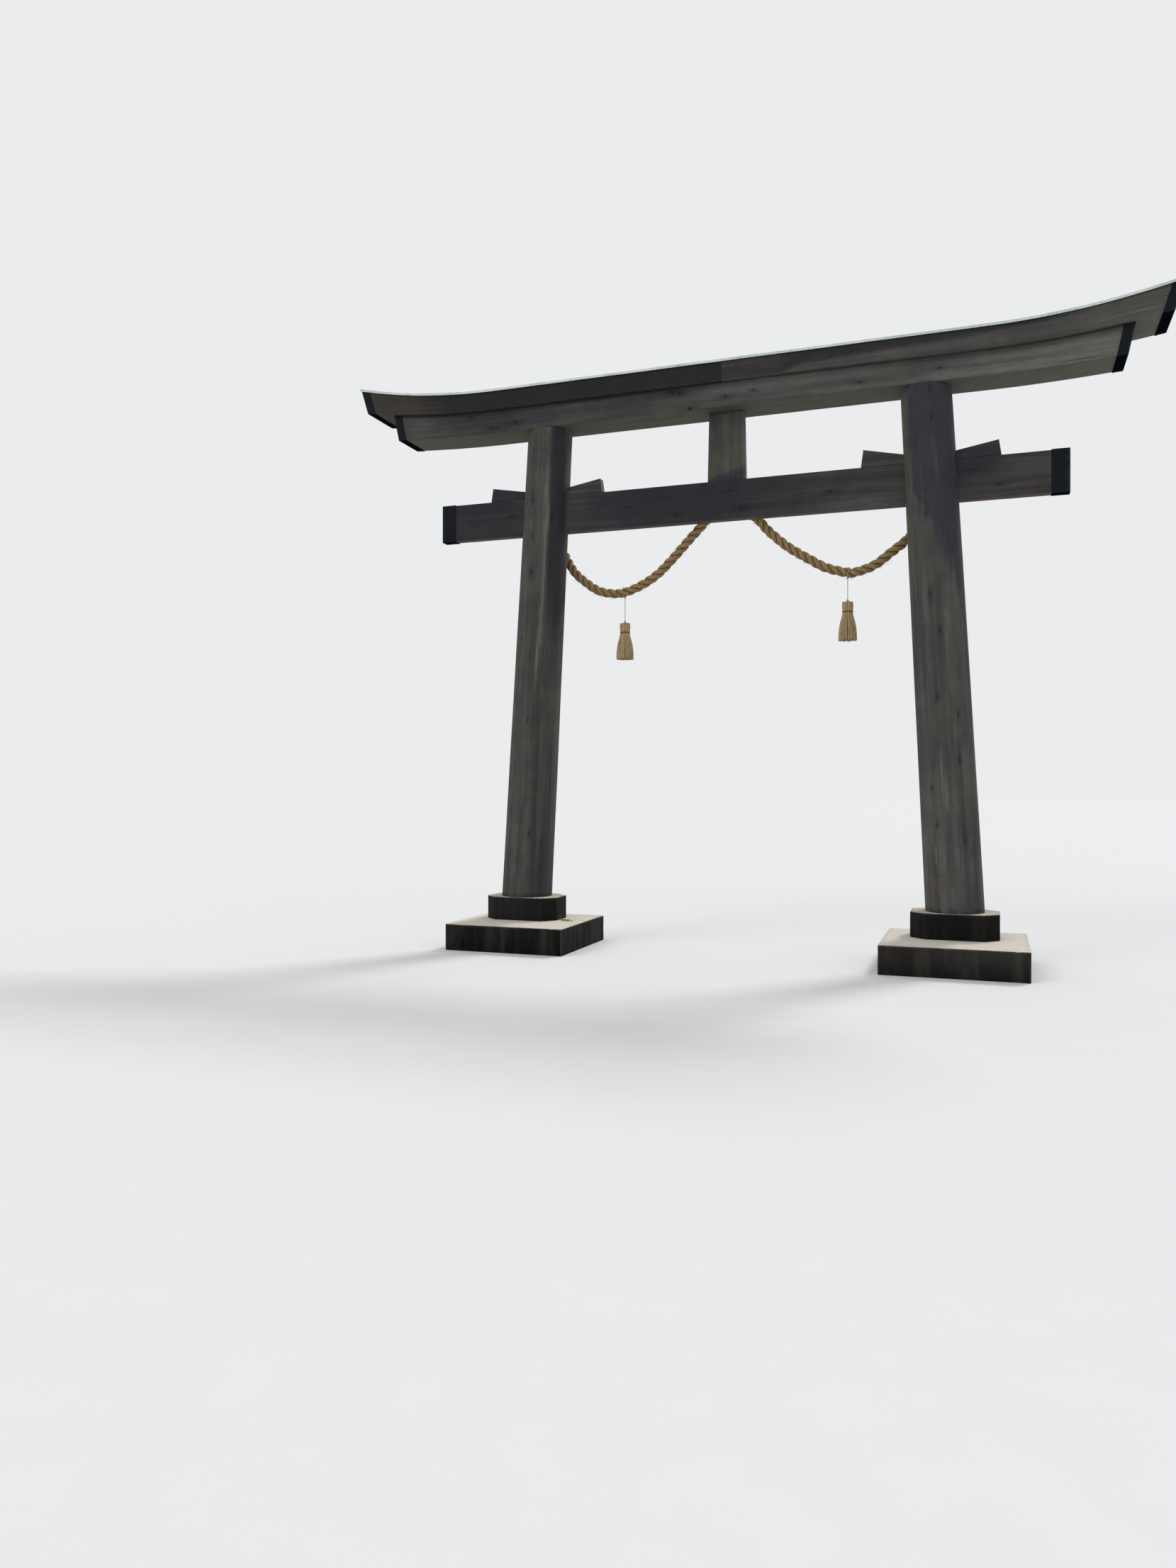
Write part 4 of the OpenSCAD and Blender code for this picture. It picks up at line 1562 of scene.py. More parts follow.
@dataclass(frozen=True)
class EndCaps:
    """Dark sheet metal sleeves with closed ends on the tie beam and both lintels.

    snug is how far the inside stands off a lintel's sides, and clear how far it stands off the tie
    beam and every timber's end.
    """

    sheet: SheetFinish
    lift: float = 0.0035
    tie_ease: float = 0.004
    lintel_ease: float = 0.006
    step: float = 0.020
    nail_r: float = 0.0045
    nail_in: float = 0.014
    dent: float = 0.0007
    snug: float = 0.0004
    clear: float = 0.001
    end_rings: tuple[float, ...] = (0.985, 0.9, 0.75, 0.5, 0.25)

    def add(self, node: str, outer: Array, inner: Array, nails: Array) -> None:
        """Makes a cap as one sheet, from inside over the rim to outside, with nails on front and back.

        Args:
            node: the CAD node that it stands for.
            outer: rings of the outside, from the rim to the closed end.
            inner: rings of the inside, from the rim to the closed end.
            nails: places (n, 3) of the nails.
        """
        dented = outer - outward(outer) * (self.dent * (1 + noise(outer, 14.0, 71)))[..., None]
        rings = np.concatenate([inner[::-1], dented])
        middle = rings[-1:].mean(axis=1, keepdims=True)
        face = middle + (rings[-1:] - middle) * np.array(self.end_rings)[:, None, None]
        rings = np.concatenate([rings, face])
        edge = edges(outward(rings))
        # The rim of the closed end takes the fold colour's painted highlight.
        edge[-7:-4] = 0.8
        heads = studs(nails, np.sign(nails * BACK), self.nail_r)
        made = Surface().add(rings, edge=edge).add(heads, edge=0.5)
        made.piece(node + "_sheet", self.sheet, "dark_sheet_metal", (node,), sharp=40.0)

    def build(self) -> None:
        """Makes the six caps."""
        for side in Side:
            self.tie_cap(side)
            self.lintel_cap(f"lower_cap_{side.word}", side, LOWER, GATE.lower_cap_len)
            self.lintel_cap(f"upper_cap_{side.word}", side, UPPER, GATE.upper_cap_len)

    def tie_cap(self, side: Side) -> None:
        """Makes one box over the end of the tie beam.

        Args:
            side: which end it is on.
        """
        low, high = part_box(f"tie_cap_{side.word}")
        mid_z, half_z, half_y = (low.z + high.z) / 2, (high.z - low.z) / 2, high.y
        start, end = sorted((abs(low.x), abs(high.x)))
        around = Outline(boxed(half_y, 2 * half_z), self.tie_ease).places(self.step)
        layers = []
        thick = GATE.cap_t - self.clear
        for inset, last in ((0.0, end), (thick, end - thick)):
            section = Outline(boxed(half_y - inset, 2 * (half_z - inset)), self.tie_ease).at(around)
            x = side.value * np.linspace(start, last, 10)[:, None]
            z = low.z + inset + section[:, 1]
            layers.append(joined(x, section[:, 0], z))
        height = np.linspace(-half_z + 0.03, half_z - 0.03, 7)
        nail_x = side.value * (start + self.nail_in)
        nails = np.array([(nail_x, y, mid_z + h) for h in height for y in (-half_y, half_y)])
        self.add(f"tie_cap_{side.word}", layers[0], layers[1], nails)

    def lintel_cap(self, node: str, side: Side, form: Sweep, long: float) -> None:
        """Makes one sleeve whose rim and closed end slant alike.

        Args:
            node: the CAD node that it stands for.
            side: which end it is on.
            form: the lintel's form.
            long: the sleeve's length.
        """
        outline = Outline(form.corners, self.lintel_ease)
        around = outline.places(self.step)
        section = outline.at(around)
        turn = outline.at(around + 0.001) - outline.at(around - 0.001)
        normal = unit(joined(turn[:, 1], -turn[:, 0]))
        half = form.corners[1][0]
        layers = []
        for grow, last in ((self.lift, GATE.cap_t), (self.snug, self.clear)):
            shape = section + normal * grow
            crest = np.interp(np.abs(shape[:, 0]), [0.0, half], [section[:, 1].max(), form.height])
            shape[:, 1] = np.minimum(shape[:, 1], crest)
            start = np.linspace(form.reach - long, form.reach + last, 9)[:, None]
            x, z = form.stations(shape, start, math.tan(form.slant))
            layers.append(joined(side.value * x, shape[:, 0], z))
        row = layers[0][1]
        nails = row[np.abs(row[:, 1]) > half - 0.001][::3]
        self.add(node, layers[0], layers[1], nails)


@dataclass(frozen=True)
class SheetLine:
    """The roof sheet's outside across the lintel: points, outward normals, and hem and fold shares."""

    points: Array
    normal: Array
    hem: Array
    fold: Array


@dataclass(frozen=True)
class Roof:
    """Pale metal sheet folded over the ridge and down at both rims, in three lengths with flat seams."""

    sheet: SheetFinish
    seam_gap: float = 0.62
    sheet_t: float = 0.0022
    seam_h: float = 0.0022
    seam_half: float = 0.016
    fold_r: float = 0.006
    hem_h: float = 0.012
    hem_out: float = 0.0018
    hem_in: float = 0.0022
    wave: float = 0.0012

    def line(self) -> SheetLine:
        """The outside from rim foot to rim foot, its height counted from the eave.

        Folds are eased by quadratic curves, and each rim ends in a hem, a half round 12 mm high.

        Returns:
            The line across the lintel.
        """
        half = GATE.upper_d / 2
        out = half + GATE.rim_out
        eave = GATE.roof_t - GATE.ridge_rise / half * GATE.rim_out
        foot = GATE.roof_t - GATE.rim_h
        corners = np.array(
            [(-out, foot), (-out, eave), (0.0, GATE.ridge_rise + GATE.roof_t), (out, eave), (out, foot)]
        )
        bends = eased(corners[:-2], corners[1:-1], corners[2:], self.fold_r)
        bent = np.vstack([corners[:1], bends, corners[-1:]])
        along = travelled(bent)
        hem = np.array([0.003, 0.007, 0.011, 0.013])
        places = np.concatenate([np.linspace(0.0, along[-1], 46), along, hem, along[-1] - hem])
        places = np.unique(np.round(places, 4))
        points = placed(places, along, bent)
        turn = np.gradient(points, axis=0)
        normal = unit(joined(-turn[:, 1], turn[:, 0]))
        from_end = np.minimum(places, along[-1] - places)
        half_hem = self.hem_h / 2
        rolled = (from_end < self.hem_h) * np.sqrt(np.clip(1 - ((from_end - half_hem) / half_hem) ** 2, 0, 1))
        fold = np.clip(np.linalg.norm(np.gradient(normal, axis=0), axis=1) * 2.2, 0, 1)
        return SheetLine(points, normal, rolled, fold)

    def length(self, node: str, start: float, end: float, slanted: bool, side: int) -> None:
        """Makes one length: two skins a sheet apart, with a raised seam wherever two sheets are locked.

        Args:
            node: the CAD node that it stands for.
            start: where it starts along the lintel.
            end: where it ends.
            slanted: whether its end leans out with the lintel's.
            side: 1 for places towards +X, -1 for the other way.
        """
        line = self.line()
        seams = np.linspace(start, end, 6)
        if slanted:
            seams = np.arange(start + self.seam_gap, end - 0.2, self.seam_gap)
        seam_rows = (seams[:, None] + np.array([-0.016, -0.013, -0.009, 0.009, 0.013, 0.016])).ravel()
        x = np.concatenate([np.linspace(start, end, 70), seam_rows])
        x = np.unique(np.round(np.clip(x, start, end), 4))
        raised = np.max([rise(self.seam_half - np.abs(x - seam), 0.0, 0.005) for seam in seams], axis=0)
        foot = float(GATE.seat(np.array(UPPER.reach)))
        lean = ((x - start) / (end - start)) ** 6 * math.tan(GATE.upper_slant) * slanted
        skins = []
        for outer in (True, False):
            lift = self.seam_h * raised[:, None] * outer - self.seam_h - (0.0 if outer else self.sheet_t)
            hem = (self.hem_out if outer else -self.hem_in) * line.hem
            shape = line.points[None] + line.normal[None] * (lift + hem)[..., None]
            place = np.repeat(x[:, None], len(line.points), axis=1)
            for _ in range(3):
                z = shape[..., 1] + GATE.eave(place)
                place = x[:, None] + lean[:, None] * (z - foot)
            wave = self.wave * noise(joined(place, shape[..., 0], 0.0), (3.0, 9.0, 1.0), 81)
            skins.append(joined(side * place, shape[..., 0], z + wave - self.wave))
        rings = np.concatenate([skins[0], skins[1][:, ::-1]], axis=1)
        # The fold, hem and seam shares place the fold colour's painted highlight.
        edge = np.maximum(np.maximum(line.fold, line.hem)[None], 0.5 * raised[:, None])
        edge = np.concatenate([edge, edge[:, ::-1]], axis=1)
        Surface().add(rings, Ends.STRIP, edge=edge).piece(
            node.replace("sheet", "metal"), self.sheet, "roof_sheet_metal", (node,), sharp=40.0
        )

    def build(self) -> None:
        """Makes the three lengths."""
        first, last = GATE.roof_mid_len / 2, GATE.upper_half + GATE.rim_out
        self.length("roof_sheet_middle", -first, first, False, 1)
        for side in Side:
            self.length(f"roof_sheet_{side.word}", first, last, True, side.value)


ROUTE = np.array([
    (-2.290, 0.352, 5.120), (-2.200, 0.328, 4.990), (-2.125, 0.282, 4.870), (-2.030, 0.242, 4.735),
    (-1.913, 0.220, 4.625), (-1.716, 0.200, 4.483), (-1.533, 0.190, 4.426), (-1.344, 0.180, 4.422),
    (-1.110, 0.170, 4.502), (-0.897, 0.160, 4.627), (-0.695, 0.150, 4.812), (-0.522, 0.140, 4.987),
    (-0.378, 0.130, 5.128), (-0.250, 0.125, 5.252), (-0.125, 0.125, 5.337), (0.000, 0.125, 5.360),
    (0.125, 0.125, 5.337), (0.250, 0.125, 5.262), (0.358, 0.130, 5.170), (0.483, 0.140, 5.028),
    (0.700, 0.150, 4.837), (0.938, 0.160, 4.684), (1.142, 0.170, 4.567), (1.395, 0.182, 4.495),
    (1.504, 0.190, 4.505), (1.687, 0.200, 4.569), (1.851, 0.220, 4.691), (2.023, 0.242, 4.826),
    (2.125, 0.290, 4.940), (2.205, 0.330, 5.030), (2.290, 0.352, 5.120),
])


def add_cord(
    made: Surface, path: Array, radius: Array | float, sides: int, beside: Array, shade: float
) -> None:
    """Adds one round cord to a surface, with its straws laid slantwise along it.

    Args:
        made: the surface.
        path: centre line (rows, 3).
        radius: a radius, or radii (1, rows, 1).
        sides: points in each circle.
        beside: a direction that the path never takes.
        shade: how brown its straws are.
    """
    rings = tubes(path[None], radius, sides, beside)
    along = travelled(path)
    turn = turns(sides) - along[:, None] / 0.012
    spot = joined(along[:, None], 0.02 * np.cos(turn), 0.02 * np.sin(turn))
    made.add(rings, grain=spot[None], shade=shade, deep=0.0)


@dataclass
class Rope:
    """The straw rope in two swags behind the tie beam: three strands laid to the left, with stray straws."""

    straw: StrawFinish
    cord_straw: StrawFinish
    diameter: float = 0.115
    line_step: float = 0.0072
    pitch: float = 0.32
    strand_r: float = 0.0272
    strand_sides: int = 30
    straw_pitch: float = 0.19
    straw_ridge: float = 0.0012
    tucked: float = 0.100
    collar_len: float = 0.110
    collar_d: float = 0.128
    core_r: float = 0.0535
    windings: int = 9
    cord_r: float = 0.0062
    ring_r: float = 0.046
    ply_r: float = 0.0074
    ply_out: float = 0.0066
    hook_r: float = 0.012
    hook_bend: float = 0.016
    strays: int = 210
    stray_len: tuple[float, float] = (0.04, 0.10)
    stray_lift: tuple[float, float] = (0.10, 0.50)
    stray_r: float = 0.0016

    def __post_init__(self) -> None:
        """Works out the rope's line and its directions."""
        ends = self.tucked * unit(ROUTE[[0, -1]] - ROUTE[[1, -2]])
        whole = np.vstack([ROUTE[:1] + ends[:1], ROUTE, ROUTE[-1:] + ends[1:]])
        self.line: Array = curved(whole, self.line_step)
        self.way: Array = unit(np.gradient(self.line, axis=0))
        self.up: Array = unit(np.cross(self.way, BACK))
        self.up *= np.sign(self.up[:, 2:3])
        self.front: Array = np.cross(self.up, self.way)
        self.front *= -np.sign(self.front[:, 1:2])
        self.along: Array = travelled(self.line)

    def strands(self) -> None:
        """Makes three circles that turn about the rope's line once in a pitch, ridged by their straws."""
        turn = 2 * np.pi * (self.along / self.pitch + np.arange(3)[:, None] / 3)
        from_end = np.minimum(self.along, self.along[-1] - self.along)
        full = (0.80 + 0.20 * rise(from_end, self.tucked - 0.02, self.tucked + 0.05))[None, :, None]
        out = circle(turn, self.up, self.front)
        path = self.line + full * (self.diameter / 2 - self.strand_r - 0.001) * out
        lay = turns(self.strand_sides)[None, None] - 2 * np.pi * self.along[None, :, None] / self.straw_pitch
        spot = joined(self.along[None, :, None], 0.05 * np.cos(lay), 0.05 * np.sin(lay))
        spot = spot + np.arange(3)[:, None, None, None] * BACK
        ridges = noise(spot, (3.0, 75.0, 75.0), 91)
        beside = -np.cross(out, np.gradient(path, axis=1))
        radius = full * self.strand_r + self.straw_ridge * ridges
        rings = tubes(path, radius, self.strand_sides, beside)
        away = rings - self.line[None, :, None]
        # Painted shade in the grooves between the strands.
        deep = np.clip((0.0525 - np.linalg.norm(away, axis=-1)) / 0.019, 0.0, 1.0)
        height = (away * self.up[None, :, None]).sum(axis=-1) / (self.diameter / 2)
        # Painted light and shade: straws are paler on the rope's top and browner underneath.
        shade = 0.42 + 0.30 * ridges - 0.40 * height
        rope = Surface().add(rings, grain=spot, shade=shade, deep=deep).piece(
            "straw_rope_strands", self.straw, "rice_straw", ("straw_rope",)
        )
        strays = self.stray_straws()
        eyes = [self.eye(side) for side in Side]

    def stray_straws(self) -> bpy.types.Object:
        """Makes loose straw ends that leave the rope's surface along the lay and bend down.

        Returns:
            The new object.
        """
        picks = np.random.default_rng(7)
        count, rows = self.strays, 7
        at = picks.integers(20, len(self.line) - 20, count)
        turn = picks.uniform(0.0, 2 * np.pi, count)
        turn = np.where(picks.random(count) < 0.55, np.pi + 0.6 * (picks.random(count) - 0.5) * np.pi, turn)
        out = circle(turn, self.up[at], self.front[at])
        side = np.cross(self.way[at], out)
        length = picks.uniform(*self.stray_len, count)[:, None, None]
        t = np.linspace(0.0, 1.0, rows)[None, :, None]
        lie = unit(self.way[at] * np.where(picks.random(count) < 0.5, 1, -1)[:, None] + 0.8 * side)[:, None]
        lift = picks.uniform(*self.stray_lift, count)[:, None, None]
        path = self.line[at][:, None] + out[:, None] * (0.050 + lift * length * t**1.5)
        sag = picks.uniform(0.0, 0.35, count)[:, None, None] * length * t**2
        path = path + lie * length * t * 0.8 - UP * sag
        thin = (self.stray_r * (1.0 - 0.6 * t[..., 0]))[..., None]
        radius = thin * picks.uniform(0.6, 1.2, count)[:, None, None]
        rings = tubes(path, radius, 4, out[:, None] + 0.01)
        tone = np.broadcast_to(picks.random(count)[:, None, None], rings.shape[:3])
        made = Surface().add(rings, grain=rings, shade=tone * 0.9 - 0.2, deep=0.0)
        return made.piece("rope_stray_straws", self.straw, "rice_straw")

    def eye(self, side: Side) -> bpy.types.Object:
        """Makes the bound collar on the rope's end, as a core with turns of cord, and the twisted ring on it.

        Args:
            side: which end it is on.

        Returns:
            The new object.
        """
        end, before = (ROUTE[0], ROUTE[1]) if side is Side.LEFT else (ROUTE[-1], ROUTE[-2])
        way = unit(end - before)
        across = unit(np.cross(way, BACK))
        back = np.cross(way, across)
        made = Surface()
        t = np.array([-0.10, 0.0, 0.25, 0.5, 0.75, 0.93, 1.0, 1.03])[:, None]
        wide = np.array([0.8, 1, 1, 1, 1, 0.96, 0.8, 0.35])[None, :, None] * self.core_r
        add_cord(made, end + way * t * self.collar_len, wide, 28, across, 0.9)
        turn = np.linspace(0.0, 2 * np.pi * self.windings, self.windings * 28)
        risen = np.linspace(0.006, self.collar_len - 0.006, len(turn))[:, None]
        wound_r = self.collar_d / 2 - 0.0066
        wound = end + way * risen + wound_r * circle(turn, across, back)
        add_cord(made, wound, self.cord_r, 8, way, 0.2)
        centre = end + way * (self.collar_len + self.ring_r)
        turn = np.linspace(0.0, 2 * np.pi, 73)
        for ply in (0.0, np.pi):
            twist = 7 * turn + ply
            radius = self.ring_r + self.ply_out * np.cos(twist)
            loop = joined(radius * np.cos(turn), self.ply_out * np.sin(twist), radius * np.sin(turn))
            add_cord(made, centre + loop, self.ply_r, 10, BACK, 0.3)
        node = f"rope_eye_{side.word}"
        return made.piece(node + "_binding", self.cord_straw, "rice_straw", (node,))

    def hooks(self) -> None:
        """Makes the three iron hooks: a pin that bends up into a blunt tip."""
        finish = IronFinish("hook_iron")
        radius, bend = self.hook_r, self.hook_bend
        for word in ("left", "middle", "right"):
            low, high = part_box(f"rope_hook_{word}")
            x, z, y_end = (low.x + high.x) / 2, low.z + radius, high.y - radius
            turn = np.linspace(0.0, np.pi / 2, 7)
            arc = joined(y_end - bend + bend * np.sin(turn), z + bend - bend * np.cos(turn))
            pin = [[low.y, z], [(low.y + y_end) / 2, z]]
            line = np.vstack([*pin, arc, [y_end, high.z - radius], [y_end, high.z]])
            path = joined(x, line[:, 0], line[:, 1])[None]
            wide = np.full((1, len(line), 1), radius - 0.0004)
            wide[0, -1] *= 0.55
            rings = tubes(path, wide, 16, ALONG)
            Surface().add(rings).piece(f"rope_hook_{word}_iron", finish, "hook_iron", (f"rope_hook_{word}",))

    def build(self) -> None:
        """Makes the rope, what is on it, and its hooks."""
        self.strands()
        self.hooks()


@dataclass(frozen=True)
class Tassel:
    """A bundle of straw, bound at the neck and hung by a string from one point of the rope's route.

    Each share is a part of the bundle's radius, and under is how deep its straws' middles lie in it.
    """

    side: Side
    point: int
    straw: StrawFinish
    string_d: float = 0.010
    string_pitch: float = 0.03
    string_ply_r: float = 0.0028
    string_ply_out: float = 0.0021
    line_step: float = 0.0045
    loop_gap: float = 0.0003
    knot_r: float = 0.0042
    knot_sizes: tuple[float, float] = (0.0085, 0.0095)
    knot_tilts: tuple[float, ...] = (0.3, 1.4, 2.5)
    straws: int = 430
    straw_r: tuple[float, float] = (0.0022, 0.0034)
    inner_share: float = 0.30
    outer_share: float = 0.93
    core_share: float = 0.90
    under: float = 0.003
    rows: int = 12
    heights: tuple[float, ...] = (0.0, 0.2, 0.42, 0.62, 0.70, 0.76, 0.84, 0.93, 0.985)
    widths: tuple[float, ...] = (1.0, 0.97, 0.86, 0.628, 0.541, 0.541, 0.60, 0.60, 0.575)
    bound_at: float = 0.73
    binding_r: float = 0.0032
    spread: float = 0.004

    def build(self, rope: Rope) -> None:
        """Makes the string on that rope and the bundle."""
        self.string(rope)
        self.bundle()

    def string(self, rope: Rope) -> None:
        """Makes the string: once round the rope, then straight down, of two twisted plies.

        The loop is a circle square to the rope, and the plies are tubes that turn about the string's line.

        Args:
            rope: the rope that it hangs from.
        """
        node = f"tassel_string_{self.side.word}"
        low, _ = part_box(node)
        before, point, after = ROUTE[self.point - 1 : self.point + 2]
        way = unit(after - before)
        up = unit(UP - way[2] * way)
        loop_r = rope.diameter / 2 + self.string_d / 2 + self.loop_gap
        turn = np.linspace(np.pi, 3 * np.pi, 60)
        drift = np.linspace(-0.009, 0.0, 60)[:, None]
        loop = point + loop_r * circle(turn, up, np.cross(way, up)) + way * drift
        drop = np.linspace(loop[-1], [loop[-1][0], loop[-1][1], low.z], 40)[1:]
        line = curved(np.vstack([loop, drop]), self.line_step)
        direction = unit(np.gradient(line, axis=0))
        along = travelled(line)
        beside = way + np.array([0.0, 0.0, 0.001])
        side_way = unit(np.cross(direction, beside))
        other = np.cross(direction, side_way)
        made = Surface()
        for ply in (0.0, np.pi):
            twist = 2 * np.pi * along / self.string_pitch + ply
            path = line + self.string_ply_out * circle(twist, side_way, other)
            rings = tubes(path[None], self.string_ply_r, 7, beside)
            made.add(rings, grain=rings, shade=0.25, deep=0.0)
        string = made.piece(node + "_twine", rope.cord_straw, "rice_straw", (node,))
        knot = self.knot(rope, point - loop_r * up, np.array([loop[-1][0], loop[-1][1], low.z + 0.012]))
        LOG.info("%s length %.3f m", node, along[-1])

    def knot(self, rope: Rope, upper: Array, lower: Array) -> bpy.types.Object:
        """Makes the knots under the rope and over the bundle: three tight turns, each tilted its own way.

        Args:
            rope: the rope that the string hangs from.
            upper: the place of the upper knot.
            lower: the place of the lower knot, from which the string goes on into the bundle.

        Returns:
            The new object.
        """
        made = Surface()
        turn = np.linspace(0.0, 2 * np.pi, 25)
        for place, size in zip((upper, lower), self.knot_sizes):
            for tilt in self.knot_tilts:
                a = np.array([math.cos(tilt), math.sin(tilt), 0.35])
                b = np.array([-math.sin(tilt) * 0.5, math.cos(tilt) * 0.5, 0.9])
                path = place + size * circle(turn, unit(a), unit(b))
                add_cord(made, path, self.knot_r, 8, unit(np.cross(a, b)), 0.5)
        tail = lower - np.linspace(0.0, 0.05, 6)[:, None] * UP
        add_cord(made, tail, self.knot_r, 8, ALONG, 0.4)
        return made.piece(f"tassel_knots_{self.side.word}", rope.cord_straw, "rice_straw")

    def bundle(self) -> None:
        """Makes the bundle: straws side by side that follow its outline, a core, and turns of binding."""
        node = f"tassel_{self.side.word}"
        low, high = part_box(node)
        middle = np.array([(low.x + high.x) / 2, (low.y + high.y) / 2, low.z])
        tall, foot = high.z - low.z, (high.x - low.x) / 2
        radii = np.array(self.widths) * foot
        picks = np.random.default_rng(17 + self.side.value)
        count, rows = self.straws, self.rows
        share = np.sqrt(picks.uniform(self.inner_share, 1.0, count))
        outside = count * 2 // 3
        share[:outside] = picks.uniform(self.outer_share, 1.0, outside)
        angle = picks.uniform(0, 2 * np.pi, count)[:, None] + 0.0
        first = picks.uniform(0.0, 0.035, count)[:, None]
        last = picks.uniform(0.955, 0.99, count)[:, None]
        h = first + (last - first) * np.linspace(0.0, 1.0, rows)[None]
        bow = 0.03 * np.sin(picks.uniform(1, 4, count)[:, None] * h + picks.uniform(0, 6, count)[:, None])
        angle = angle + bow * np.clip(0.8 - h, 0, 1) * 2
        flare = self.spread * picks.uniform(-1.0, 0.6, count)[:, None] * np.clip(0.6 - h, 0, 1)
        radius = np.interp(h, self.heights, radii) * share[:, None] - self.under + flare
        path = joined(radius * np.cos(angle), radius * np.sin(angle), h * tall) + middle
        thick = picks.uniform(*self.straw_r, count)[:, None, None]
        away = joined(np.cos(angle), np.sin(angle), 0.0)
        rings = tubes(path, thick, 5, away)
        tone = np.broadcast_to(picks.random(count)[:, None, None], rings.shape[:3])
        # Painted shade: straws that lie further inside the bundle get more of the deep colour.
        inner = np.broadcast_to(np.clip((0.95 - share) * 2.2, 0, 1)[:, None, None], tone.shape)
        made = Surface().add(rings, grain=rings[..., [2, 0, 1]], shade=tone, deep=inner)
        stops = np.linspace(0.02, 0.965, 14)
        core_line = middle + joined(0.0, 0.0, stops * tall)
        core_r = np.interp(stops, self.heights, radii) * self.core_share - self.under
        core = tubes(core_line[None], core_r[None, :, None], 36, ALONG)
        # The core takes the deep colour as painted shade inside the bundle.
        made.add(core, grain=core[..., [2, 0, 1]], shade=1.0, deep=0.8)
        turn = np.linspace(0.0, 6 * np.pi, 150)
        band_r = np.interp(self.bound_at, self.heights, radii) + 0.0012
        z = middle[2] + tall * self.bound_at + np.linspace(-0.008, 0.008, 150)
        band = joined(middle[0] + band_r * np.cos(turn), middle[1] + band_r * np.sin(turn), z)
        ring = tubes(band[None], self.binding_r, 7, UP)
        made.add(ring, grain=ring, shade=1.0, deep=0.75)
        made.piece(node + "_straw", self.straw, "rice_straw", (node,))


@dataclass(frozen=True)
class Footing:
    """One block or slab of the base: a prism with cut corners, a worn upper edge and a crowned top.

    chamfer is the cut across each upright corner, crown how far the top rises inside its edges, and
    flat_half half the width of the level middle that it rises to. moss_at is a place in X, Y and Z and
    the reach of the moss about it.
    """

    node: str
    slot: str
    finish: StoneFinish
    seed: int
    chamfer: float = 0.0
    crown: float = 0.0
    flat_half: float = 0.4
    corner_ease: float = 0.012
    ease: float = 0.010
    rough: float = 0.0022
    chip: float = 0.008
    step: float = 0.013
    moss_at: tuple[float, float, float, float] | None = None

    def build(self) -> None:
        """Stacks the outline up the sides, over an eased edge and in to the top's middle, and roughens it."""
        low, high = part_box(self.node)
        centre = np.array([(low.x + high.x) / 2, (low.y + high.y) / 2])
        a, d, cut = (high.x - low.x) / 2, (high.y - low.y) / 2, self.chamfer
        b, e = a - cut, d - cut
        corners = [(-b, -d), (b, -d), (a, -e), (a, e), (b, d), (-b, d), (-a, e), (-a, -e)]
        outline = Outline(corners if cut else [(-a, -d), (a, -d), (a, d), (-a, d)], self.corner_ease)
        section = outline.at(outline.places(self.step))
        tall, ease = high.z - low.z, self.ease
        rim = tall - self.crown
        side_z = np.linspace(0.006, rim - ease, round(rim / self.step))
        turn = np.linspace(0.0, np.pi / 2, 5)[1:]
        inward = np.linspace(0.0, 1.0, round(a / self.step / 1.5))[1:-1] ** 0.9
        edge_in = 1 - ease / a
        top_scale = edge_in * (1 - inward)
        slope = np.clip((top_scale * a - self.flat_half) / (a - ease - self.flat_half), 0.0, 1.0)
        top_z = tall - self.crown * slope
        scale = np.concatenate(
            [[0.4, 0.9, 1 - 0.004 / a], np.ones(len(side_z)), 1 - (1 - np.cos(turn)) * ease / a, top_scale]
        )
        z = np.concatenate([[0.0, 0.0, 0.0], side_z, rim - ease + ease * np.sin(turn), top_z])
        flat = section[None] * scale[:, None, None] + centre
        rings = joined(flat[..., 0], flat[..., 1], low.z + z[:, None])
        normal = outward(rings)
        edge = edges(normal) * (scale[:, None] > 0.9)
        worn = bell(z, rim - ease / 2, ease)[:, None] * rise(scale, 0.9, 0.97)[:, None]
        edge = np.maximum(edge, 0.9 * worn * (z[:, None] > 0.01))
        coarse = 0.5 + 0.5 * noise(rings, 11.0, self.seed)
        fine = 0.5 + 0.5 * noise(rings, 45.0, self.seed + 1)
        chips = np.clip(noise(rings, 16.0, self.seed + 2) - 0.35, 0.0, 1.0) * edge
        depth = (self.rough * (0.6 * coarse + 0.4 * fine) + self.chip * chips) * (z > 0.003)[:, None]
        moss = np.zeros(depth.shape)
        if self.moss_at:
            away = np.linalg.norm(rings - np.array(self.moss_at[:3]), axis=-1)
            moss = 0.9 * fall(away, 0.02, self.moss_at[3])
        Surface().add(rings - normal * depth[..., None], edge=edge, moss=moss).piece(
            self.node + "_body", self.finish, self.slot, (self.node,), 60.0
        )


@dataclass(frozen=True)
class Lamp:
    """A soft distant lamp: its strength, its spread, its tilt from the zenith and its turn, in degrees."""

    name: str
    strength: float
    spread: float
    tilt: float
    turn: float

    def build(self) -> None:
        """Puts the lamp into the scene."""
        data = bpy.data.lights.new(self.name, "SUN")
        data.energy = self.strength
        data.angle = math.radians(self.spread)
        made = linked(self.name, data)
        made.rotation_euler = (math.radians(self.tilt), 0.0, math.radians(self.turn))


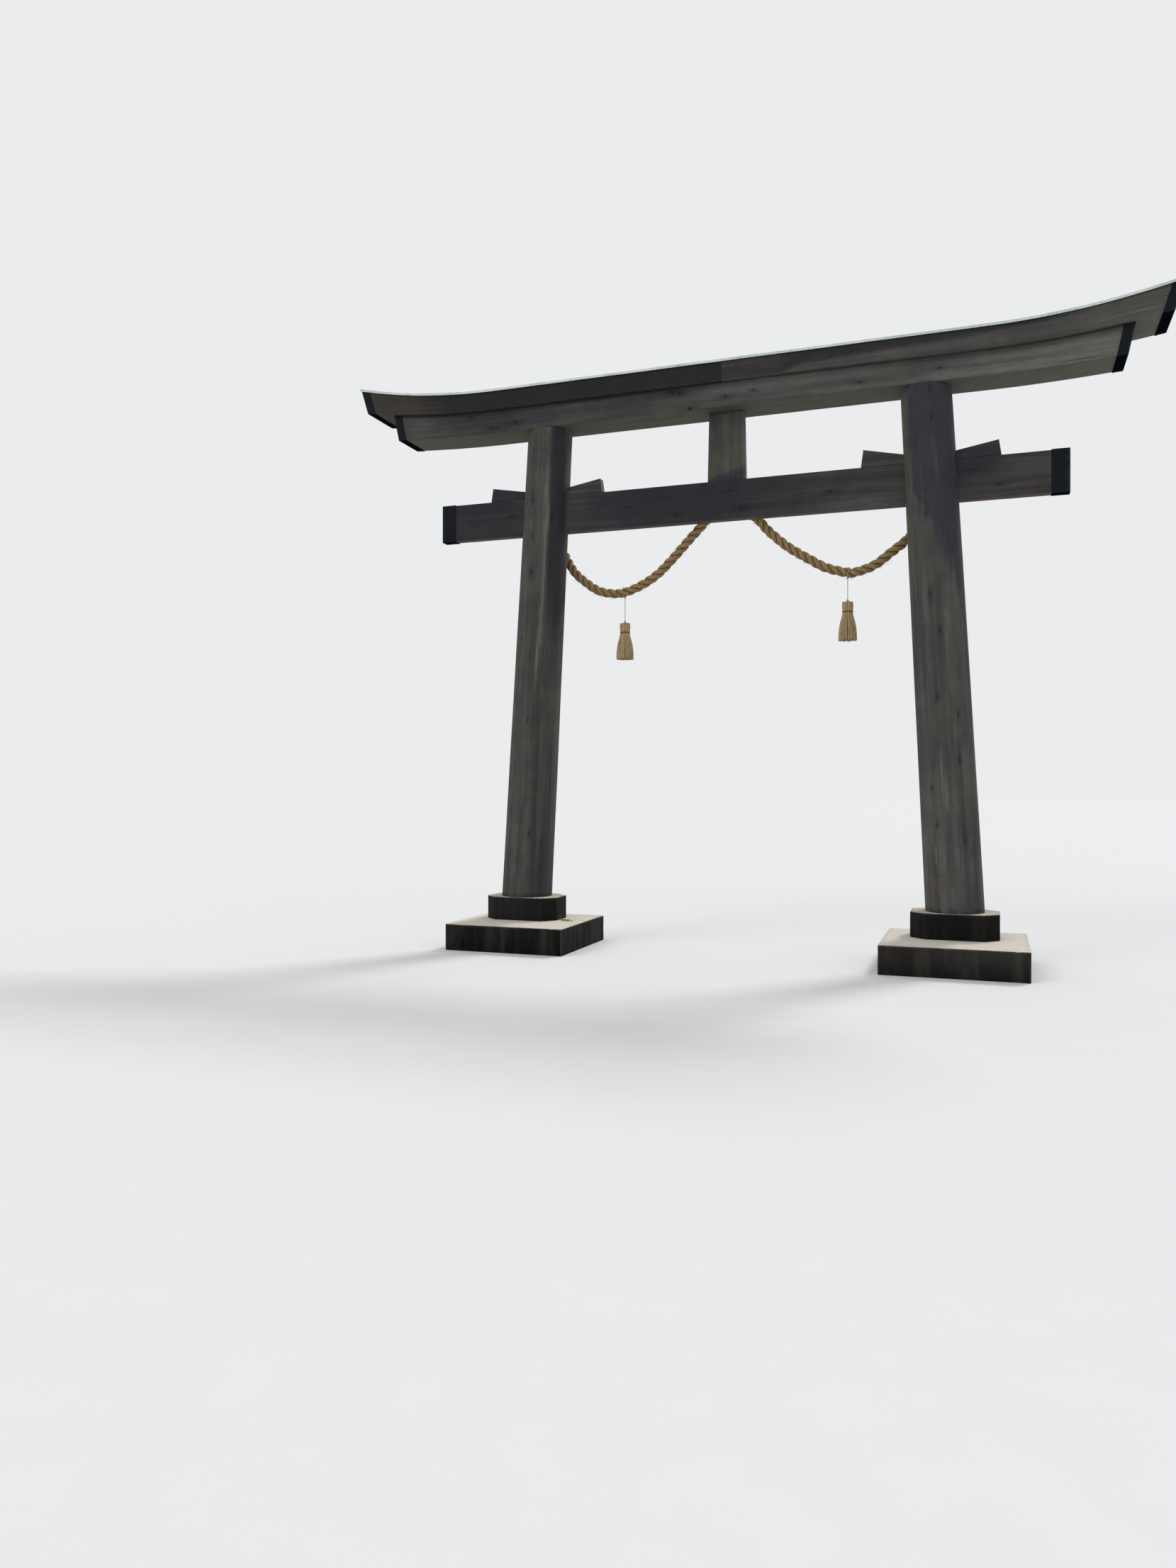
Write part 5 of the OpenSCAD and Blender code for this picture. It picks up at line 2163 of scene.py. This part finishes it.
@dataclass(frozen=True)
class Studio:
    """The plain pale floor, the soft light and the camera at the photograph's angle."""

    picture_height: int = 2212
    sensor: float = 36.0
    focal_px: float = 1559.9
    camera_at: tuple[float, float, float] = (2.921, -12.926, 2.018)
    yaw: float = 0.3472
    pitch: float = 0.0014
    roll: float = -0.0014
    floor_rings: tuple[float, ...] = (160.0, 60.0, 20.0, 6.0)
    floor_light: Colour = srgb(242, 242, 240)
    floor_dark: Colour = srgb(239, 239, 237)
    fill: Colour = srgb(238, 241, 246)
    fill_strength: float = 0.62
    backdrop: Colour = srgb(235, 236, 237)
    lamps: tuple[Lamp, ...] = (Lamp("key", 1.25, 14.0, 40.0, 150.0), Lamp("front", 0.55, 30.0, 52.0, -35.0))

    def build(self) -> None:
        """Makes the camera, the floor, the lamps and the world."""
        self.camera()
        self.floor()
        self.world()
        for lamp in self.lamps:
            lamp.build()

    def camera(self) -> None:
        """Puts the camera where the photograph was taken from."""
        data = bpy.data.cameras.new("camera")
        data.sensor_width = self.sensor
        data.lens = self.focal_px * self.sensor / self.picture_height
        data.clip_end = 500.0
        made = linked("camera", data)
        made.location = self.camera_at
        made.rotation_euler = Euler((math.pi / 2 + self.pitch, self.roll, self.yaw), "XYZ")
        bpy.context.scene.camera = made

    def floor(self) -> None:
        """Lays the floor, a disc whose rings spread out evenly from the middle."""
        turn = turns(96)
        radius = np.array(self.floor_rings)[:, None]
        top = joined(radius * np.cos(turn), radius * np.sin(turn), 0.0)
        disc = Surface().add(np.concatenate([top[:1] - [0, 0, 0.1], top]))
        made = linked("floor", disc.mesh("floor", 30))
        coat = Coat("pale_floor")
        speck = coat.wires.grain(coat.place, 3.0, 3.0)
        tone = coat.wires.mix(speck, self.floor_dark, self.floor_light)
        coat.finish(tone, 0.9, speck, 0.001, Specular_IOR_Level=0.2)
        made.data.materials.append(coat.material)

    def world(self) -> None:
        """Sets a plain world that lights the gate evenly and is seen as a pale backdrop."""
        world = bpy.data.worlds.new("studio")
        world.use_nodes = True
        w = Wiring(world.node_tree)
        lit = world.node_tree.nodes["Background"]
        lit.inputs["Color"].default_value = self.fill
        lit.inputs["Strength"].default_value = self.fill_strength
        seen = w.node("Background", Color=self.backdrop, Strength=1.0)
        path = w.node("LightPath")
        eye = w.sum("MAXIMUM", path.outputs["Is Camera Ray"], path.outputs["Is Glossy Ray"])
        eye = w.sum("MAXIMUM", eye, path.outputs["Is Transmission Ray"])
        mixed = w.node("MixShader", in0=eye, in1=lit.outputs[0], in2=seen.outputs[0])
        w.feed(world.node_tree.nodes["World Output"].inputs["Surface"], mixed.outputs[0])
        bpy.context.scene.world = world


def timbers() -> None:
    """Builds the posts, the tie beam with its wedges, the strut and both lintels."""
    for post in POSTS:
        post.build()
    TieBeam().build()
    aged = {"light": srgb(92, 88, 84), "dark": srgb(66, 62, 60), "worn": srgb(128, 120, 104)}
    finish = TimberFinish("wedge_timber", pale=srgb(150, 140, 118), **aged)
    Wedge(Side.LEFT, Slot.OUTER, finish, stain=1.0).build()
    Wedge(Side.LEFT, Slot.INNER, finish, stain=0.45, olive=0.3).build()
    Wedge(Side.RIGHT, Slot.INNER, finish, end_h=0.198, stain=0.25).build()
    Wedge(Side.RIGHT, Slot.OUTER, finish, stain=0.9).build()
    Strut().build()
    LowerLintel().build()
    for lintel in UPPER_LINTELS:
        lintel.build()


def metals() -> None:
    """Builds the end caps and the roof."""
    EndCaps(
        SheetFinish(
            # The lighter fold colour is a painted highlight on the caps' edges, and the under colour is
            # painted shade.
            "cap_sheet", base=srgb(12, 19, 28), blotch=srgb(9, 12, 18), spot=srgb(24, 32, 38),
            fold=srgb(42, 50, 56), under=srgb(8, 11, 15), metallic=0.0, roughness=0.6, shine=0.12,
        )
    ).build()
    Roof(
        SheetFinish(
            # The near-white fold colour is a painted reflection on the folds and hems, and the dark under
            # colour is painted shade under the rim.
            "roof_sheet", base=srgb(208, 218, 211), blotch=srgb(176, 190, 182), spot=srgb(164, 174, 166),
            fold=srgb(236, 240, 236), under=srgb(96, 102, 98), metallic=0.1, roughness=0.5,
        )
    ).build()


def straws() -> None:
    """Builds the rope with its eyes and hooks, and both tassels."""
    rope = Rope(
        StrawFinish("rope_straw"),
        StrawFinish("cord_straw", pale=srgb(194, 184, 162), brown=srgb(150, 138, 114)),
    )
    rope.build()
    finish = StrawFinish(
        "tassel_straw", pale=srgb(206, 182, 138), brown=srgb(156, 130, 92), deep=srgb(84, 66, 42),
        green=srgb(164, 148, 108),
    )
    Tassel(Side.LEFT, 7, finish).build(rope)
    Tassel(Side.RIGHT, 23, finish).build(rope)


def base() -> None:
    """Builds both concrete slabs and the stone blocks that the posts stand on."""
    moss = {Side.LEFT: (-2.03, -0.05, 0.345, 0.17), Side.RIGHT: None}
    # The side tones are dark as painted shade, and the left slab's and the right block's are darker still, as
    # painted shade.
    tones = {
        Side.LEFT: (srgb(37, 36, 36), srgb(16, 15, 15), srgb(25, 24, 23), srgb(13, 12, 12)),
        Side.RIGHT: (srgb(26, 25, 25), srgb(12, 12, 12), srgb(52, 49, 46), srgb(26, 24, 23)),
    }
    for side in Side:
        block_side, block_darkened, slab_side, slab_darkened = tones[side]
        # The pale top colours are partly painted sunlight, partly dust and pale concrete.
        stone = StoneFinish(
            f"base_stone_{side.word}", side=block_side, top=srgb(206, 196, 178), damp=block_darkened,
            worn=srgb(80, 77, 72), wet_to=0.42,
        )
        concrete = StoneFinish(
            f"slab_concrete_{side.word}", side=slab_side, top=srgb(226, 218, 204), damp=slab_darkened,
            worn=srgb(120, 114, 104), speckle=0.22, wet_to=0.22,
        )
        Footing(
            f"base_block_{side.word}", "base_stone", stone, 101 + side.value, chamfer=0.16,
            moss_at=moss[side],
        ).build()
        Footing(
            f"slab_{side.word}", "slab_concrete", concrete, 111 + side.value, crown=0.025, flat_half=0.48,
            ease=0.007, rough=0.0025, chip=0.009, step=0.019, moss_at=moss[side],
        ).build()


def main() -> None:
    """Builds the studio and then the gate, from the rope to the base."""
    logging.basicConfig(level=logging.INFO, format="%(message)s")
    bpy.context.scene.view_settings.view_transform = "Standard"
    Studio().build()
    straws()
    timbers()
    metals()
    base()


if __name__ == "__main__":
    main()
